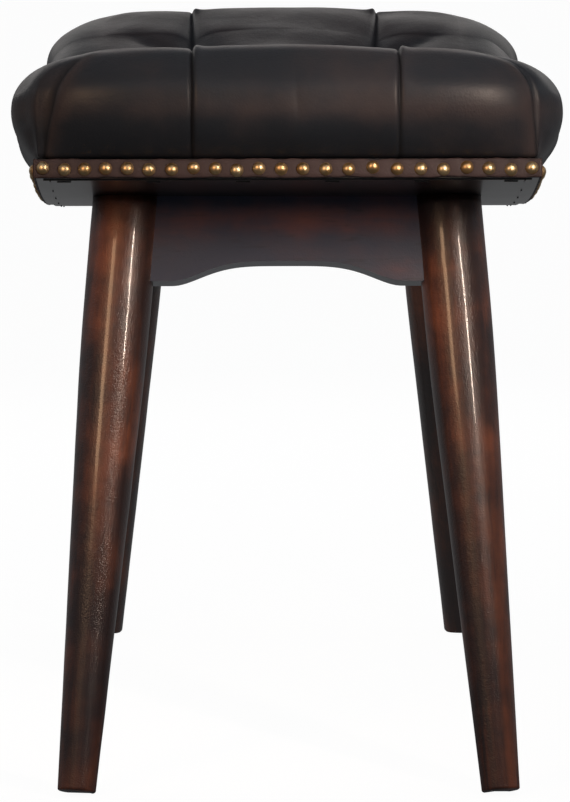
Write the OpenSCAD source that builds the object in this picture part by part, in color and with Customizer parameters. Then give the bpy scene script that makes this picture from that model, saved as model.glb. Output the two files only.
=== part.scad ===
// Upholstered bench with an upturned curved seat on four splayed, turned legs.
// X runs along the bench, Y from front to back, Z up. The origin is on the floor, under the middle.
// Left is -X, right is +X, front is -Y, back is +Y.

/* [Seat] */
// Length of the cushion over its rolled ends
pad_len = 906; // [760:1:1200]
// Depth of the cushion at its widest
pad_w = 406; // [360:1:480]
// Height of the cushion above the board at mid length
pad_h = 76; // [60:1:100]
// Further height of the cushion at its rolled ends
end_gain = 10; // [0:1:25]
// How far the cushion's crown falls toward its crest line
side_fall = 6; // [0:0.5:12]
// How far the cushion's roll stands out from its crest line
roll_out = 51; // [36:1:60]
// How far the cushion overhangs the edge of the board
overhang = 19; // [12:1:24]
// Radius of the cushion's crest line at its corners, in plan
crest_r = 22; // [16:1:40]

/* [Tufting] */
// Number of buttons along each outer row
tuft_columns = 5; // [3:1:7]
// Distance from each end of the crest line to the nearest button
end_puff = 152; // [110:2:190]
// Depth of the tufts below the crown
tuft_depth = 27; // [15:1:32]
// Depth of the folds between the tufts
fold_depth = 11; // [4:1:16]
// Depth of the pleats down the sides and ends
pleat_depth = 5; // [2:0.5:8]
// Diameter of a covered button
button_d = 22; // [16:1:28]
// Height of a covered button at its middle
button_h = 8; // [5:0.5:10]
// Thickness of the twine that ties a button down
twine_d = 2.5; // [1.5:0.1:4]
// Diameter of the disc that the twine is knotted round
knot_d = 14; // [10:1:18]
// Thickness of that disc
knot_t = 3; // [2:0.5:5]

/* [Seat board] */
// Height of the board's covered underside at mid length
seat_low = 407; // [340:1:480]
// Rise of the board from mid length to its ends
board_rise = 43; // [20:1:70]
// Thickness of the board
board_t = 14; // [12:1:24]
// Thickness of the black cloth under the board
cover_t = 1; // [0.6:0.1:2]
// Margin of board left bare round that cloth
cover_margin = 5; // [3:0.5:10]
// Thickness of the foam core
foam_t = 32; // [20:1:36]
// Distance from the edge of the board to the foam core
foam_margin = 34; // [26:1:50]

/* [Nails and band] */
// Thickness of the leather band round the board
band_t = 2; // [1.2:0.1:3]
// Diameter of a nail's domed head
nail_d = 9.2; // [6:0.1:12]
// Height of a nail's domed head
nail_h = 3.4; // [2:0.1:4.5]
// Diameter of a nail's shank
shank_d = 1.8; // [1.2:0.1:2.4]
// Length of a nail's shank
shank_len = 13; // [8:0.5:16]
// Pitch aimed at between nails
nail_pitch = 16; // [12:0.5:24]
// Distance from the end of a band to its first nail
nail_inset = 7.5; // [6:0.5:14]

/* [Legs] */
// How far the middle of a foot stands in from the end of the cushion
foot_in_len = 21; // [0:1:80]
// How far the middle of a foot stands in from the side of the cushion
foot_in_dep = 48; // [30:1:80]
// Splay of the legs along the bench, in degrees
splay_len = 15.5; // [8:0.5:20]
// Splay of the legs across the bench, in degrees
splay_dep = 4.8; // [2:0.1:7]
// Diameter of a leg at its foot
foot_d = 28; // [22:0.2:34]
// Diameter of a leg at its top
leg_d = 50; // [44:0.5:58]
// Share of the taper that runs straight before it rounds into the leg's parallel top
taper_share = 0.76; // [0.5:0.02:0.9]
// Distance from a rail's lower corner down to the leg's parallel top
top_drop = 6; // [4:1:30]
// Chamfer round the foot
foot_chamfer = 1; // [0.5:0.1:2]
// Depth of the level flat that the low rim of a foot is dressed to
foot_flat = 1.4; // [0.8:0.1:2.5]

/* [Rails] */
// Thickness of the rails
rail_t = 20; // [16:0.5:24]
// Distance from the board's underside to a rail's lower corner, at the legs
rail_h = 64; // [45:1:80]
// Rise of the arch in an end rail
end_arch = 15; // [8:1:25]
// Rise of the arch in a side rail
side_arch = 22; // [10:1:30]
// Length of the flat at each end of a rail's lower edge
rail_flat = 14; // [6:1:30]
// Thickness of a tenon
tenon_t = 8; // [6:0.5:10]
// Height of a tenon
tenon_h = 30; // [20:1:40]
// Depth of a tenon in the leg
tenon_len = 14; // [10:0.5:15]

/* [Corner blocks] */
// Length of a block along each rail, from the inner corner of the rails
block_leg = 80; // [70:1:90]
// Height of a block
block_h = 32; // [24:1:40]
// Diameter of the screws
screw_d = 4.2; // [3:0.1:5]
// Diameter of a screw's head
screw_head_d = 8.4; // [6:0.1:10]
// Height of a screw's head
screw_head_h = 2.6; // [1.8:0.1:4]
// How far the seat screws go into the board
screw_bite = 10; // [7:0.5:11]
// How far the leg screws go into the leg
leg_bite = 16; // [10:1:20]

/* [Staples] */
// Width of a staple's crown
staple_w = 10; // [6:0.5:13]
// Thickness of staple wire
staple_t = 0.8; // [0.6:0.1:1.4]
// Length of a staple's legs
staple_leg = 6; // [4:0.5:9]
// Pitch aimed at between staples
staple_pitch = 60; // [40:1:90]

/* [Hidden] */

// Overrun of every cut
over = 5;
// Clearance round a part that sits in a hole or a mortise
fit = 0.15;
// Gap between the end of a part and the bottom of its hole
end_gap = 0.5;
// Facets of the long seat arcs and of small rounds
arc_fn = 720;
round_fn = 48;

// The seat is part of a wide cylinder whose axis lies above it, along Y.
board_x = pad_len / 2 - overhang - band_t;
board_y = pad_w / 2 - overhang - band_t;
under_r = (board_x * board_x + board_rise * board_rise) / (2 * board_rise);
axis_z = seat_low + under_r;
bottom_r = under_r - cover_t;
top_r = bottom_r - board_t;
board_angle = asin(board_x / bottom_r);
board_top_x = top_r * sin(board_angle);

// Height of an arc of the seat at a distance from mid length
function arc_z(r, x) = axis_z - sqrt(r * r - x * x);
function smooth(t) = let (c = min(max(t, 0), 1)) c * c * (3 - 2 * c);
function blend(a, b, t) = a + (b - a) * t;

// Cushion: crest line, tuft lattice and grid
crest_x = pad_len / 2 - roll_out;
crest_y = pad_w / 2 - roll_out;
inner_x = crest_x - end_puff;
pitch_x = 2 * inner_x / (tuft_columns - 1);
row_y = crest_y / 2;
cells_per_pitch = 6;
end_cells = 7;
mid_cells = (tuft_columns - 1) * cells_per_pitch;
cells_x = mid_cells + 2 * end_cells;
cells_y = 12;
ring_steps = 3;
// Share of the cushion's height above its widest line
upper_share = 0.45;
// How square the roll's shoulder is: a share of 1 makes a quarter of an ellipse
shoulder_share = 0.88;
// Radius in which the roll turns a corner, as a share of the crest line's radius
turn_share = 1.55;
// Radius of the hollow round a button, as a share of the pitch
hollow_share = 0.42;
// How fast a fold dies out across its puff
fold_power = 3;
// Share of the fold depth that is left where a pleat crosses the crest line
crest_fold_share = 0.35;
// How late the crown falls toward the sides
fall_power = 5;
// Where the rolled end starts to rise, as a share of the crest's half length
end_start_share = 0.55;

outer_buttons = [for (c = [0 : tuft_columns - 1], s = [-1, 1]) [c * pitch_x - inner_x, s * row_y]];
middle_buttons = [for (c = [0 : tuft_columns - 2]) [(c + 0.5) * pitch_x - inner_x, 0]];
buttons = concat(outer_buttons, middle_buttons);

// Distance of a lattice value from the nearest even number, 0 on a fold and 1 between folds
function off_fold(s) = abs(s - 2 * round(s / 2));
function fold_share(e) = pow(1 - min(e, 1), fold_power);
function near_button(x, y) = min([for (b = buttons) norm([x - b[0], y - b[1]])]);

// The middle row lies half a pitch along from the outer rows, so folds run through u + v and u - v
function lattice_u(x) = (x + inner_x) / (pitch_x / 2);
function lattice_v(y) = y / row_y;
function fold_at(x, y) =
    let (u = lattice_u(x), v = lattice_v(y),
         inside = abs(y) <= row_y && abs(x) <= inner_x,
         cross = max(fold_share(off_fold(u + v + 1)), fold_share(off_fold(u - v + 1))),
         side = abs(y) >= row_y && abs(x) <= inner_x + pitch_x / cells_per_pitch
             ? fold_share(off_fold(u)) : 0,
         end = abs(x) >= inner_x ? fold_share(abs(abs(y) - row_y) / row_y * 2) : 0,
         edge_y = (abs(y) - row_y) / (crest_y - row_y),
         edge_x = (abs(x) - inner_x) / end_puff,
         edge = max(edge_x, edge_y, 0))
    fold_depth * (inside ? cross : max(side, end)) * blend(1, crest_fold_share, smooth(edge));
function tuft_at(x, y) =
    let (t = 1 - min(near_button(x, y) / (hollow_share * pitch_x / 2), 1)) tuft_depth * t;

function crown(x) = pad_h + end_gain * smooth((abs(x) / crest_x - end_start_share) / (1 - end_start_share));
function pad_z(x, y) = arc_z(top_r, x) + crown(x) - side_fall * pow(abs(y) / crest_y, fall_power)
    - max(fold_at(x, y), tuft_at(x, y));

// Boundary of the grid: rounded at its corners, with the direction outward. The roll turns the corner
// over a longer way than the crest line does.
turn_r = turn_share * crest_r;
function turned(x, y, r) =
    let (s = [max(abs(x) - crest_x + r, 0) * sign(x), max(abs(y) - crest_y + r, 0) * sign(y)]) s / norm(s);
function outward(x, y) = turned(x, y, turn_r);
function on_crest(x, y) = [sign(x) * min(abs(x), crest_x - crest_r), sign(y) * min(abs(y), crest_y - crest_r)]
    + turned(x, y, crest_r) * crest_r;
function grid_x(i) = i < end_cells ? end_puff * i / end_cells - crest_x
    : i > cells_x - end_cells ? crest_x - end_puff * (cells_x - i) / end_cells
    : (2 * (i - end_cells) / mid_cells - 1) * inner_x;
function grid_y(j) = (2 * j / cells_y - 1) * crest_y;

// Indices once round the boundary, counter-clockwise from the front left
rim = concat([for (i = [0 : cells_x - 1]) [i, 0]], [for (j = [0 : cells_y - 1]) [cells_x, j]],
             [for (i = [cells_x : -1 : 1]) [i, cells_y]], [for (j = [cells_y : -1 : 1]) [0, j]]);
rim_count = len(rim);

function top_point(i, j) =
    let (edge = i == 0 || j == 0 || i == cells_x || j == cells_y,
         p = edge ? on_crest(grid_x(i), grid_y(j)) : [grid_x(i), grid_y(j)])
    [p[0], p[1], pad_z(p[0], p[1])];

function is_pleat(i, j) = (j == 0 || j == cells_y)
    ? i >= end_cells && i <= cells_x - end_cells && (i - end_cells) % cells_per_pitch == 0
    : j == cells_y / 4 || j == 3 * cells_y / 4;

// Rings of the rolled sides: three out to the widest line, three in to the edge of the board
function wide_point(i, j) =
    let (x = grid_x(i), y = grid_y(j), c = on_crest(x, y), o = outward(x, y), p = c + o * roll_out)
    [p[0], p[1], arc_z(top_r, c[0]) + crown(c[0]) * (1 - upper_share)];
// Only what lies beyond the outer buttons is stretched, so that the pleats run straight down
function stretched(s, keep, from, to) = abs(s) <= keep ? s
    : sign(s) * blend(keep, to, (abs(s) - keep) / (from - keep));
function foot_point(i, j) =
    let (x = stretched(grid_x(i), inner_x, crest_x, board_top_x),
         y = stretched(grid_y(j), row_y, crest_y, board_y)) [x, y, arc_z(top_r, x)];
function side_point(i, j, k) =
    let (a = k * 90 / ring_steps, low = k > ring_steps, b = (k - ring_steps) * 90 / ring_steps,
         top = top_point(i, j), wide = wide_point(i, j), foot = foot_point(i, j),
         share_xy = low ? pow(sin(b), 2) : pow(sin(a), shoulder_share),
         share_z = low ? sin(b) : 1 - pow(cos(a), shoulder_share),
         from = low ? wide : top, to = low ? foot : wide,
         o = outward(grid_x(i), grid_y(j)),
         inward = is_pleat(i, j) ? pleat_depth * (low ? cos(b) : sin(a)) : 0)
    [blend(from[0], to[0], share_xy) - o[0] * inward, blend(from[1], to[1], share_xy) - o[1] * inward,
     blend(from[2], to[2], share_z)];

ring_count = 2 * ring_steps;
grid_points = [for (i = [0 : cells_x], j = [0 : cells_y]) top_point(i, j)];
side_points = [for (k = [1 : ring_count], r = rim) side_point(r[0], r[1], k)];
function grid_index(i, j) = i * (cells_y + 1) + j;
function ring_index(k, n) = k == 0 ? grid_index(rim[n % rim_count][0], rim[n % rim_count][1])
    : len(grid_points) + (k - 1) * rim_count + n % rim_count;
front_foot = function (i) ring_index(ring_count, i);
back_foot = function (i) ring_index(ring_count, 2 * cells_x + cells_y - i);

top_faces = [for (i = [0 : cells_x - 1], j = [0 : cells_y - 1], t = [0, 1]) t == 0
    ? [grid_index(i, j), grid_index(i, j + 1), grid_index(i + 1, j + 1)]
    : [grid_index(i, j), grid_index(i + 1, j + 1), grid_index(i + 1, j)]];
side_faces = [for (k = [0 : ring_count - 1], n = [0 : rim_count - 1], t = [0, 1]) t == 0
    ? [ring_index(k, n), ring_index(k, n + 1), ring_index(k + 1, n + 1)]
    : [ring_index(k, n), ring_index(k + 1, n + 1), ring_index(k + 1, n)]];
base_faces = [for (i = [1 : cells_x - 2], t = [0, 1]) t == 0
    ? [front_foot(i), front_foot(i + 1), back_foot(i + 1)] : [front_foot(i), back_foot(i + 1), back_foot(i)]];
left_fan = [for (n = [2 * cells_x + cells_y : rim_count - 1])
    [front_foot(1), ring_index(ring_count, n), ring_index(ring_count, n + 1)]];
right_fan = [for (n = [cells_x : cells_x + cells_y - 1])
    [front_foot(cells_x - 1), ring_index(ring_count, n), ring_index(ring_count, n + 1)]];
close_faces = [[front_foot(1), back_foot(1), back_foot(0)],
               [front_foot(cells_x - 1), back_foot(cells_x), back_foot(cells_x - 1)]];

// Legs: the axis leans out both ways from the foot
foot_x = pad_len / 2 - foot_in_len;
foot_y = pad_w / 2 - foot_in_dep;
lean = [-tan(splay_len), -tan(splay_dep), 1];
leg_tilt = acos(1 / norm(lean));
leg_turn = atan2(lean[1], lean[0]);
foot_z = foot_d / 2 * sin(leg_tilt) - foot_flat;
function axis_x(z) = foot_x + lean[0] * (z - foot_z);
function axis_y(z) = foot_y + lean[1] * (z - foot_z);
rail_corner_z = arc_z(under_r, axis_x(seat_low)) - rail_h;
leg_len = (rail_corner_z + rail_h + leg_d - foot_z) * norm(lean);
taper_len = (rail_corner_z - top_drop - foot_z) * norm(lean);
// The taper runs straight, then follows a parabola that ends parallel to the axis
round_steps = 5;
taper_gain = 2 / (1 + taper_share);
function taper_at(t) = t < taper_share ? taper_gain * t
    : 1 - taper_gain * pow(1 - t, 2) / (2 * (1 - taper_share));
function leg_radius(t) = blend(foot_d, leg_d, taper_at(t)) / 2;

// Rails: each lies in the plane through the axes of its two legs
end_slope = tan(splay_dep) * cos(splay_len);
side_slope = tan(splay_len) * cos(splay_dep);
rail_top_z = arc_z(under_r, board_x);
rail_steps = 32;
arch_power = 2;
end_clear = axis_y(rail_corner_z) - leg_d / 2;
side_clear = axis_x(rail_corner_z) - leg_d / 2;
tenon_stop = leg_d / 2 - tenon_len;
tenon_low = rail_corner_z + (rail_h - tenon_h) / 3;

// Corner blocks: triangles in plan, whose corner is at the leg's axis
block_low = rail_corner_z + rail_h - block_h;
block_x = axis_x(block_low);
block_y = axis_y(block_low);
block_reach = block_leg + rail_t / 2;
block_rise = arc_z(under_r, block_x) - block_low;
// Share of the block's reach at which a seat screw stands
seat_screw_share = 0.5;
seat_screws_at = [
    [block_x - block_reach * seat_screw_share,
     block_y - rail_t / 2 - tan(splay_dep) * block_rise - screw_head_d],
    [block_x - rail_t / 2 - tan(splay_len) * block_rise - screw_head_d,
     block_y - block_reach * seat_screw_share]];
// Share of the block's height at which its leg screw lies
leg_screw_share = 0.45;
leg_screw_z = block_low + block_h * leg_screw_share;
leg_screw_face = (axis_x(leg_screw_z) + axis_y(leg_screw_z) - block_x - block_y + block_reach) / sqrt(2);

// Nails and staples
end_nail_span = 2 * (board_y + band_t - nail_inset);
end_nail_count = round(end_nail_span / nail_pitch) + 1;
side_nail_r = bottom_r - board_t / 2;
side_nail_span = 2 * (board_angle - nail_inset / side_nail_r * 180 / PI);
side_nail_count = round(side_nail_span * PI / 180 * side_nail_r / nail_pitch) + 1;
staple_in = cover_margin + staple_w / 2;
cover_angle = asin((board_x - cover_margin) / under_r);
staple_angle = asin((board_x - staple_in) / under_r);
side_staple_count = round(2 * (board_x - staple_in) / staple_pitch) + 1;
end_staple_span = 2 * (board_y - staple_in) - 2 * staple_w;
end_staple_count = round(end_staple_span / staple_pitch) + 1;

wood = [0.24, 0.11, 0.07];
dark_wood = [0.16, 0.09, 0.08];
black = [0.05, 0.05, 0.055];
hide = [0.09, 0.07, 0.065];
brass = [0.72, 0.52, 0.25];
steel = [0.7, 0.7, 0.72];

// Side view outline between two radii of the seat's arc, as far as the given angle
module arc_band(r_in, r_out, angle) {
    reach = r_out + over;
    intersection() {
        difference() {
            circle(r = r_out, $fn = arc_fn);
            circle(r = r_in, $fn = arc_fn);
        }
        polygon([[0, 0], [-reach * tan(angle), -reach], [reach * tan(angle), -reach]]);
    }
}

// Slab of the seat's arc, of a width, centred on y_mid
module arc_slab(r_in, r_out, angle, width, y_mid = 0) {
    translate([0, y_mid + width / 2, axis_z])
        rotate([90, 0, 0]) linear_extrude(width) arc_band(r_in, r_out, angle);
}

// Everything above the covered underside of the seat
module above_seat() {
    translate([0, pad_w / 2, axis_z]) rotate([90, 0, 0])
        linear_extrude(pad_w) circle(r = under_r, $fn = arc_fn);
}

// Puts a child drawn at the back right corner at any corner
module at_corner(sx, sy) {
    mirror([sx < 0 ? 1 : 0, 0, 0]) mirror([0, sy < 0 ? 1 : 0, 0]) children();
}

// Places a child whose plane is YZ in the plane of the right end rail, with +X outward
module in_end_plane() {
    translate([foot_x + tan(splay_len) * foot_z, 0, 0]) rotate([0, -splay_len, 0]) children();
}

// Places a child whose plane is XZ in the plane of the back rail, with +Y outward
module in_side_plane() {
    translate([0, foot_y + tan(splay_dep) * foot_z, 0]) rotate([splay_dep, 0, 0]) children();
}

// Stands a child on the foot of the back right leg, along the leg's axis
module on_leg_axis() {
    translate([foot_x, foot_y, foot_z]) rotate([0, leg_tilt, leg_turn]) rotate([0, 0, 180]) children();
}

// Turned leg before its top, its foot and its joints are cut
module leg_blank() {
    bends = [for (n = [0 : round_steps]) blend(taper_share, 1, n / round_steps)];
    on_leg_axis() rotate_extrude($fn = round_fn)
        polygon(concat([[0, 0], [foot_d / 2 - foot_chamfer, 0]],
                       [[leg_radius(foot_chamfer / taper_len), foot_chamfer]],
                       [for (t = bends) [leg_radius(t), taper_len * t]],
                       [[leg_d / 2, leg_len], [0, leg_len]]));
}

// The parallel top of a leg, to which the rails and blocks are coped
module leg_top() {
    on_leg_axis() translate([0, 0, taper_len]) cylinder(d = leg_d, h = leg_len - taper_len, $fn = round_fn);
}

// Tenon of a rail in the rail's plane: it follows the leg's axis and stops short of it
module tenon_outline(foot, slope, low, extra) {
    top = low + tenon_h;
    polygon([[foot - slope * low - leg_d, low - extra],
             [foot - slope * low - tenon_stop + extra, low - extra],
             [foot - slope * top - tenon_stop + extra, top + extra],
             [foot - slope * top - leg_d, top + extra]]);
}

module end_tenon(extra = 0) {
    in_end_plane() rotate([90, 0, 90]) translate([0, 0, -tenon_t / 2 - extra])
        linear_extrude(tenon_t + 2 * extra) tenon_outline(
            foot_y + tan(splay_dep) * foot_z, end_slope, tenon_low / cos(splay_len), extra);
}

module side_tenon(extra = 0) {
    in_side_plane() rotate([90, 0, 0]) translate([0, 0, -tenon_t / 2 - extra])
        linear_extrude(tenon_t + 2 * extra) tenon_outline(
            foot_x + tan(splay_len) * foot_z, side_slope, tenon_low / cos(splay_dep), extra);
}

module leg(sx, sy) {
    color(wood) at_corner(sx, sy) difference() {
        leg_blank();
        above_seat();
        translate([foot_x - leg_d, foot_y - leg_d, -leg_d]) cube([2 * leg_d, 2 * leg_d, leg_d]);
        end_tenon(fit);
        side_tenon(fit);
        leg_screw(fit);
    }
}

// Lower edge of a rail: flats at the ends, an ogee and a long arch between
function arch_rise(s, clear, rise) =
    let (q = min(abs(s) / (clear - rail_flat), 1)) rise * (1 + cos(180 * pow(q, arch_power))) / 2;

module rail_outline(foot, slope, clear, corner, rise) {
    top = rail_top_z + over;
    polygon(concat([[foot - slope * top, top], [-foot + slope * top, top]],
                   [[-foot + slope * corner, corner]],
                   [for (n = [-rail_steps : rail_steps]) let (s = n / rail_steps * clear)
                       [s, corner + arch_rise(s, clear, rise)]],
                   [[foot - slope * corner, corner]]));
}

module end_rail(sx) {
    color(dark_wood) at_corner(sx, 1) {
        difference() {
            in_end_plane() rotate([90, 0, 90]) translate([0, 0, -rail_t / 2]) linear_extrude(rail_t)
                rail_outline(foot_y + tan(splay_dep) * foot_z, end_slope, end_clear,
                             rail_corner_z / cos(splay_len), end_arch);
            above_seat();
            for (sy = [-1, 1]) at_corner(1, sy) leg_top();
        }
        for (sy = [-1, 1]) at_corner(1, sy) end_tenon();
    }
}

module side_rail(sy) {
    color(dark_wood) at_corner(1, sy) {
        difference() {
            in_side_plane() rotate([90, 0, 0]) translate([0, 0, -rail_t / 2]) linear_extrude(rail_t)
                rail_outline(foot_x + tan(splay_len) * foot_z, side_slope, side_clear,
                             rail_corner_z / cos(splay_dep), side_arch);
            above_seat();
            for (sx = [-1, 1]) at_corner(sx, 1) leg_top();
        }
        for (sx = [-1, 1]) at_corner(sx, 1) side_tenon();
    }
}

// Corner block, cut to the rails, the leg and the underside of the seat
module block(sx, sy) {
    wide = pad_len;
    color(dark_wood) at_corner(sx, sy) difference() {
        translate([0, 0, block_low]) linear_extrude(block_rise + block_h)
            polygon([[block_x, block_y], [block_x - block_reach, block_y], [block_x, block_y - block_reach]]);
        in_end_plane() translate([-rail_t / 2, -wide / 2, 0]) cube([wide, wide, wide]);
        in_side_plane() translate([-wide / 2, -rail_t / 2, 0]) cube([wide, wide, wide]);
        leg_top();
        above_seat();
        leg_screw(fit);
        seat_screw_pair(fit);
    }
}

// Half outline of a dome that stands on the X axis
module dome_outline(d, h) {
    r = (h * h + d * d / 4) / (2 * h);
    intersection() {
        square([d / 2, h]);
        translate([0, h - r]) circle(r = r, $fn = 2 * round_fn);
    }
}

// Round-headed screw along +Z, its head below the origin
module screw(length, extra = 0) {
    translate([0, 0, -extra]) cylinder(d = screw_d + 2 * extra, h = length + 2 * extra, $fn = round_fn);
    if (extra == 0) mirror([0, 0, 1]) rotate_extrude($fn = round_fn) dome_outline(screw_head_d, screw_head_h);
}

module leg_screw(extra = 0) {
    translate([axis_x(leg_screw_z), axis_y(leg_screw_z), leg_screw_z]) rotate([0, 90, 45])
        translate([0, 0, -leg_screw_face]) screw(leg_screw_face - leg_d / 2 + leg_bite, extra);
}

module seat_screw_pair(extra = 0) {
    for (p = seat_screws_at) translate([p[0], p[1], block_low])
        screw(arc_z(bottom_r, p[0]) + screw_bite - block_low, extra);
}

module every_corner() {
    for (sx = [-1, 1], sy = [-1, 1]) at_corner(sx, sy) children();
}

module block_screws() {
    color(steel) every_corner() leg_screw();
}

module seat_screws() {
    color(steel) every_corner() seat_screw_pair();
}

// Places a child on the seat's arc: +X along the board, +Z toward the axis, origin on the axis
module on_arc(angle) {
    translate([0, 0, axis_z]) rotate([0, -angle, 0]) children();
}

// Button ties: each runs from a disc let into the board up to its button
function slope_at(x) = abs(x) / sqrt(bottom_r * bottom_r - x * x);
function knot_top(b) = arc_z(bottom_r, b[0]) + knot_t + knot_d / 2 * slope_at(b[0]);
function button_seat(b) = pad_z(b[0], b[1]);

module tie_holes() {
    for (b = buttons) {
        translate([b[0], b[1], arc_z(under_r, b[0]) - over])
            cylinder(d = twine_d + 2 * fit, h = pad_h, $fn = round_fn);
        translate([b[0], b[1], arc_z(bottom_r, b[0]) - over])
            cylinder(d = knot_d + 2 * fit, h = knot_top(b) - arc_z(bottom_r, b[0]) + over, $fn = round_fn);
    }
}

module button_ties() {
    color(black) for (b = buttons) translate([b[0], b[1], knot_top(b) - knot_t]) {
        cylinder(d = knot_d, h = knot_t, $fn = round_fn);
        cylinder(d = twine_d, h = button_seat(b) - knot_top(b) + knot_t, $fn = round_fn);
    }
}

// Covered button: a low dome with an upright rim
module tuft_buttons() {
    rim_h = button_h / 4;
    color(hide) for (b = buttons) translate([b[0], b[1], button_seat(b)]) rotate_extrude($fn = round_fn) {
        square([button_d / 2, rim_h]);
        translate([0, rim_h]) dome_outline(button_d, button_h - rim_h);
    }
}

module foam_slab(extra = 0) {
    arc_slab(top_r - foam_t - extra, top_r + (extra > 0 ? over : 0),
             asin((board_x - foam_margin + extra) / top_r), 2 * (board_y - foam_margin + extra));
}

module foam_core() {
    color([0.93, 0.89, 0.72]) difference() {
        foam_slab();
        foam_tie_holes();
    }
}

module foam_tie_holes() {
    for (b = buttons) translate([b[0], b[1], arc_z(top_r, b[0]) - over])
        cylinder(d = twine_d + 2 * fit, h = button_seat(b) - arc_z(top_r, b[0]) + 2 * over, $fn = round_fn);
}

// Leather cushion: crowned and tufted above, drawn in to the board below, hollow for its core
module leather_cushion() {
    color(hide) difference() {
        polyhedron(points = concat(grid_points, side_points),
                   faces = concat(top_faces, side_faces, base_faces, left_fan, right_fan, close_faces));
        foam_slab(fit);
        foam_tie_holes();
        for (b = buttons) translate([b[0], b[1], button_seat(b)])
            cylinder(d = button_d + 2 * fit, h = pad_h, $fn = round_fn);
    }
}

// Domed nail along +Z, its head above the origin
module nail() {
    rotate_extrude($fn = round_fn) {
        dome_outline(nail_d, nail_h);
        translate([0, -shank_len]) square([shank_d / 2, shank_len]);
    }
}

module nail_hole() {
    translate([0, 0, -shank_len - end_gap])
        cylinder(d = shank_d + 2 * fit, h = shank_len + end_gap + over, $fn = round_fn);
}

// Puts a child, a nail or its hole, along one end or one side of the board
module along_end(sx) {
    for (n = [0 : end_nail_count - 1]) at_corner(sx, 1) on_arc(board_angle)
        translate([band_t, (n / (end_nail_count - 1) - 0.5) * end_nail_span, -side_nail_r])
            rotate([0, 90, 0]) children();
}

module along_side(sy) {
    for (n = [0 : side_nail_count - 1])
        at_corner(1, sy) on_arc((n / (side_nail_count - 1) - 0.5) * side_nail_span)
            translate([0, board_y + band_t, -side_nail_r]) rotate([-90, 0, 0]) children();
}

module end_nails(sx) {
    color(brass) along_end(sx) nail();
}

module side_nails(sy) {
    color(brass) along_side(sy) nail();
}

// Bands: the end bands cover the ends of the side bands
module end_band(sx) {
    color(hide) difference() {
        at_corner(sx, 1) on_arc(board_angle) translate([0, -board_y - band_t, -bottom_r])
            cube([band_t, 2 * (board_y + band_t), board_t]);
        along_end(sx) nail_hole();
    }
}

module side_band(sy) {
    color(hide) difference() {
        arc_slab(top_r, bottom_r, board_angle, band_t, sy * (board_y + band_t / 2));
        along_side(sy) nail_hole();
    }
}

module staple(extra = 0) {
    translate([-staple_w / 2 - extra, -staple_t / 2 - extra, -staple_t - extra])
        cube([staple_w + 2 * extra, staple_t + 2 * extra, staple_t + extra]);
    for (s = [-1, 1]) translate([s * (staple_w - staple_t) / 2, 0, -staple_t])
        translate([-staple_t / 2 - extra, -staple_t / 2 - extra, 0])
            cube([staple_t + 2 * extra, staple_t + 2 * extra, staple_t + staple_leg + 2 * extra]);
}

module staples(extra = 0) {
    for (n = [0 : side_staple_count - 1], sy = [-1, 1])
        on_arc((2 * n / (side_staple_count - 1) - 1) * staple_angle)
            translate([0, sy * (board_y - staple_in), -under_r]) staple(extra);
    for (n = [0 : end_staple_count - 1], sx = [-1, 1]) on_arc(sx * staple_angle)
        translate([0, (n / (end_staple_count - 1) - 0.5) * end_staple_span, -under_r])
            rotate([0, 0, 90]) staple(extra);
}

module cover_staples() {
    color(steel) staples();
}

module dust_cover() {
    color(black) difference() {
        arc_slab(bottom_r, under_r, cover_angle, 2 * (board_y - cover_margin));
        every_corner() seat_screw_pair(fit);
        staples(fit);
    }
}

module seat_board() {
    color(wood) difference() {
        arc_slab(top_r, bottom_r, board_angle, 2 * board_y);
        tie_holes();
        every_corner() seat_screw_pair(fit);
        staples(fit);
        for (s = [-1, 1]) {
            along_end(s) nail_hole();
            along_side(s) nail_hole();
        }
    }
}

leg(-1, -1);  // front_left_leg
leg(1, -1);  // front_right_leg
leg(-1, 1);  // back_left_leg
leg(1, 1);  // back_right_leg
end_rail(-1);  // left_end_rail
end_rail(1);  // right_end_rail
side_rail(-1);  // front_rail
side_rail(1);  // back_rail
block(-1, -1);  // front_left_block
block(1, -1);  // front_right_block
block(-1, 1);  // back_left_block
block(1, 1);  // back_right_block
block_screws();
seat_screws();
seat_board();
foam_core();
leather_cushion();
tuft_buttons();
button_ties();
dust_cover();
cover_staples();
end_band(-1);  // left_end_band
end_band(1);  // right_end_band
side_band(-1);  // front_band
side_band(1);  // back_band
end_nails(-1);  // left_end_nails
end_nails(1);  // right_end_nails
side_nails(-1);  // front_nails
side_nails(1);  // back_nails
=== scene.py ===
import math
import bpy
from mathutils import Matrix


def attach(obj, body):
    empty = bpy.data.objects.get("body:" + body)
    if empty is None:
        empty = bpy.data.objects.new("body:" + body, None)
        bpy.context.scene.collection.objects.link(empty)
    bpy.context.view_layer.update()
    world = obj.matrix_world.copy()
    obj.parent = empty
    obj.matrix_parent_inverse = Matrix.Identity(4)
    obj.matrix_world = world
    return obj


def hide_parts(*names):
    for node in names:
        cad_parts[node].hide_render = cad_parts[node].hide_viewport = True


bl_info = {
    "name": "Upholstered bench",
    "version": (1, 0, 0),
    "blender": (4, 5, 0),
    "location": "View3D > Sidebar > Bench",
    "description": "Dresses the bench: tufted leather seat, nailed band, turned legs and lacquered underside",
    "category": "Add Mesh",
}

import bmesh
import bpy
import numpy as np
from bpy.props import FloatProperty, FloatVectorProperty, IntProperty, PointerProperty
from mathutils import Euler

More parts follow.
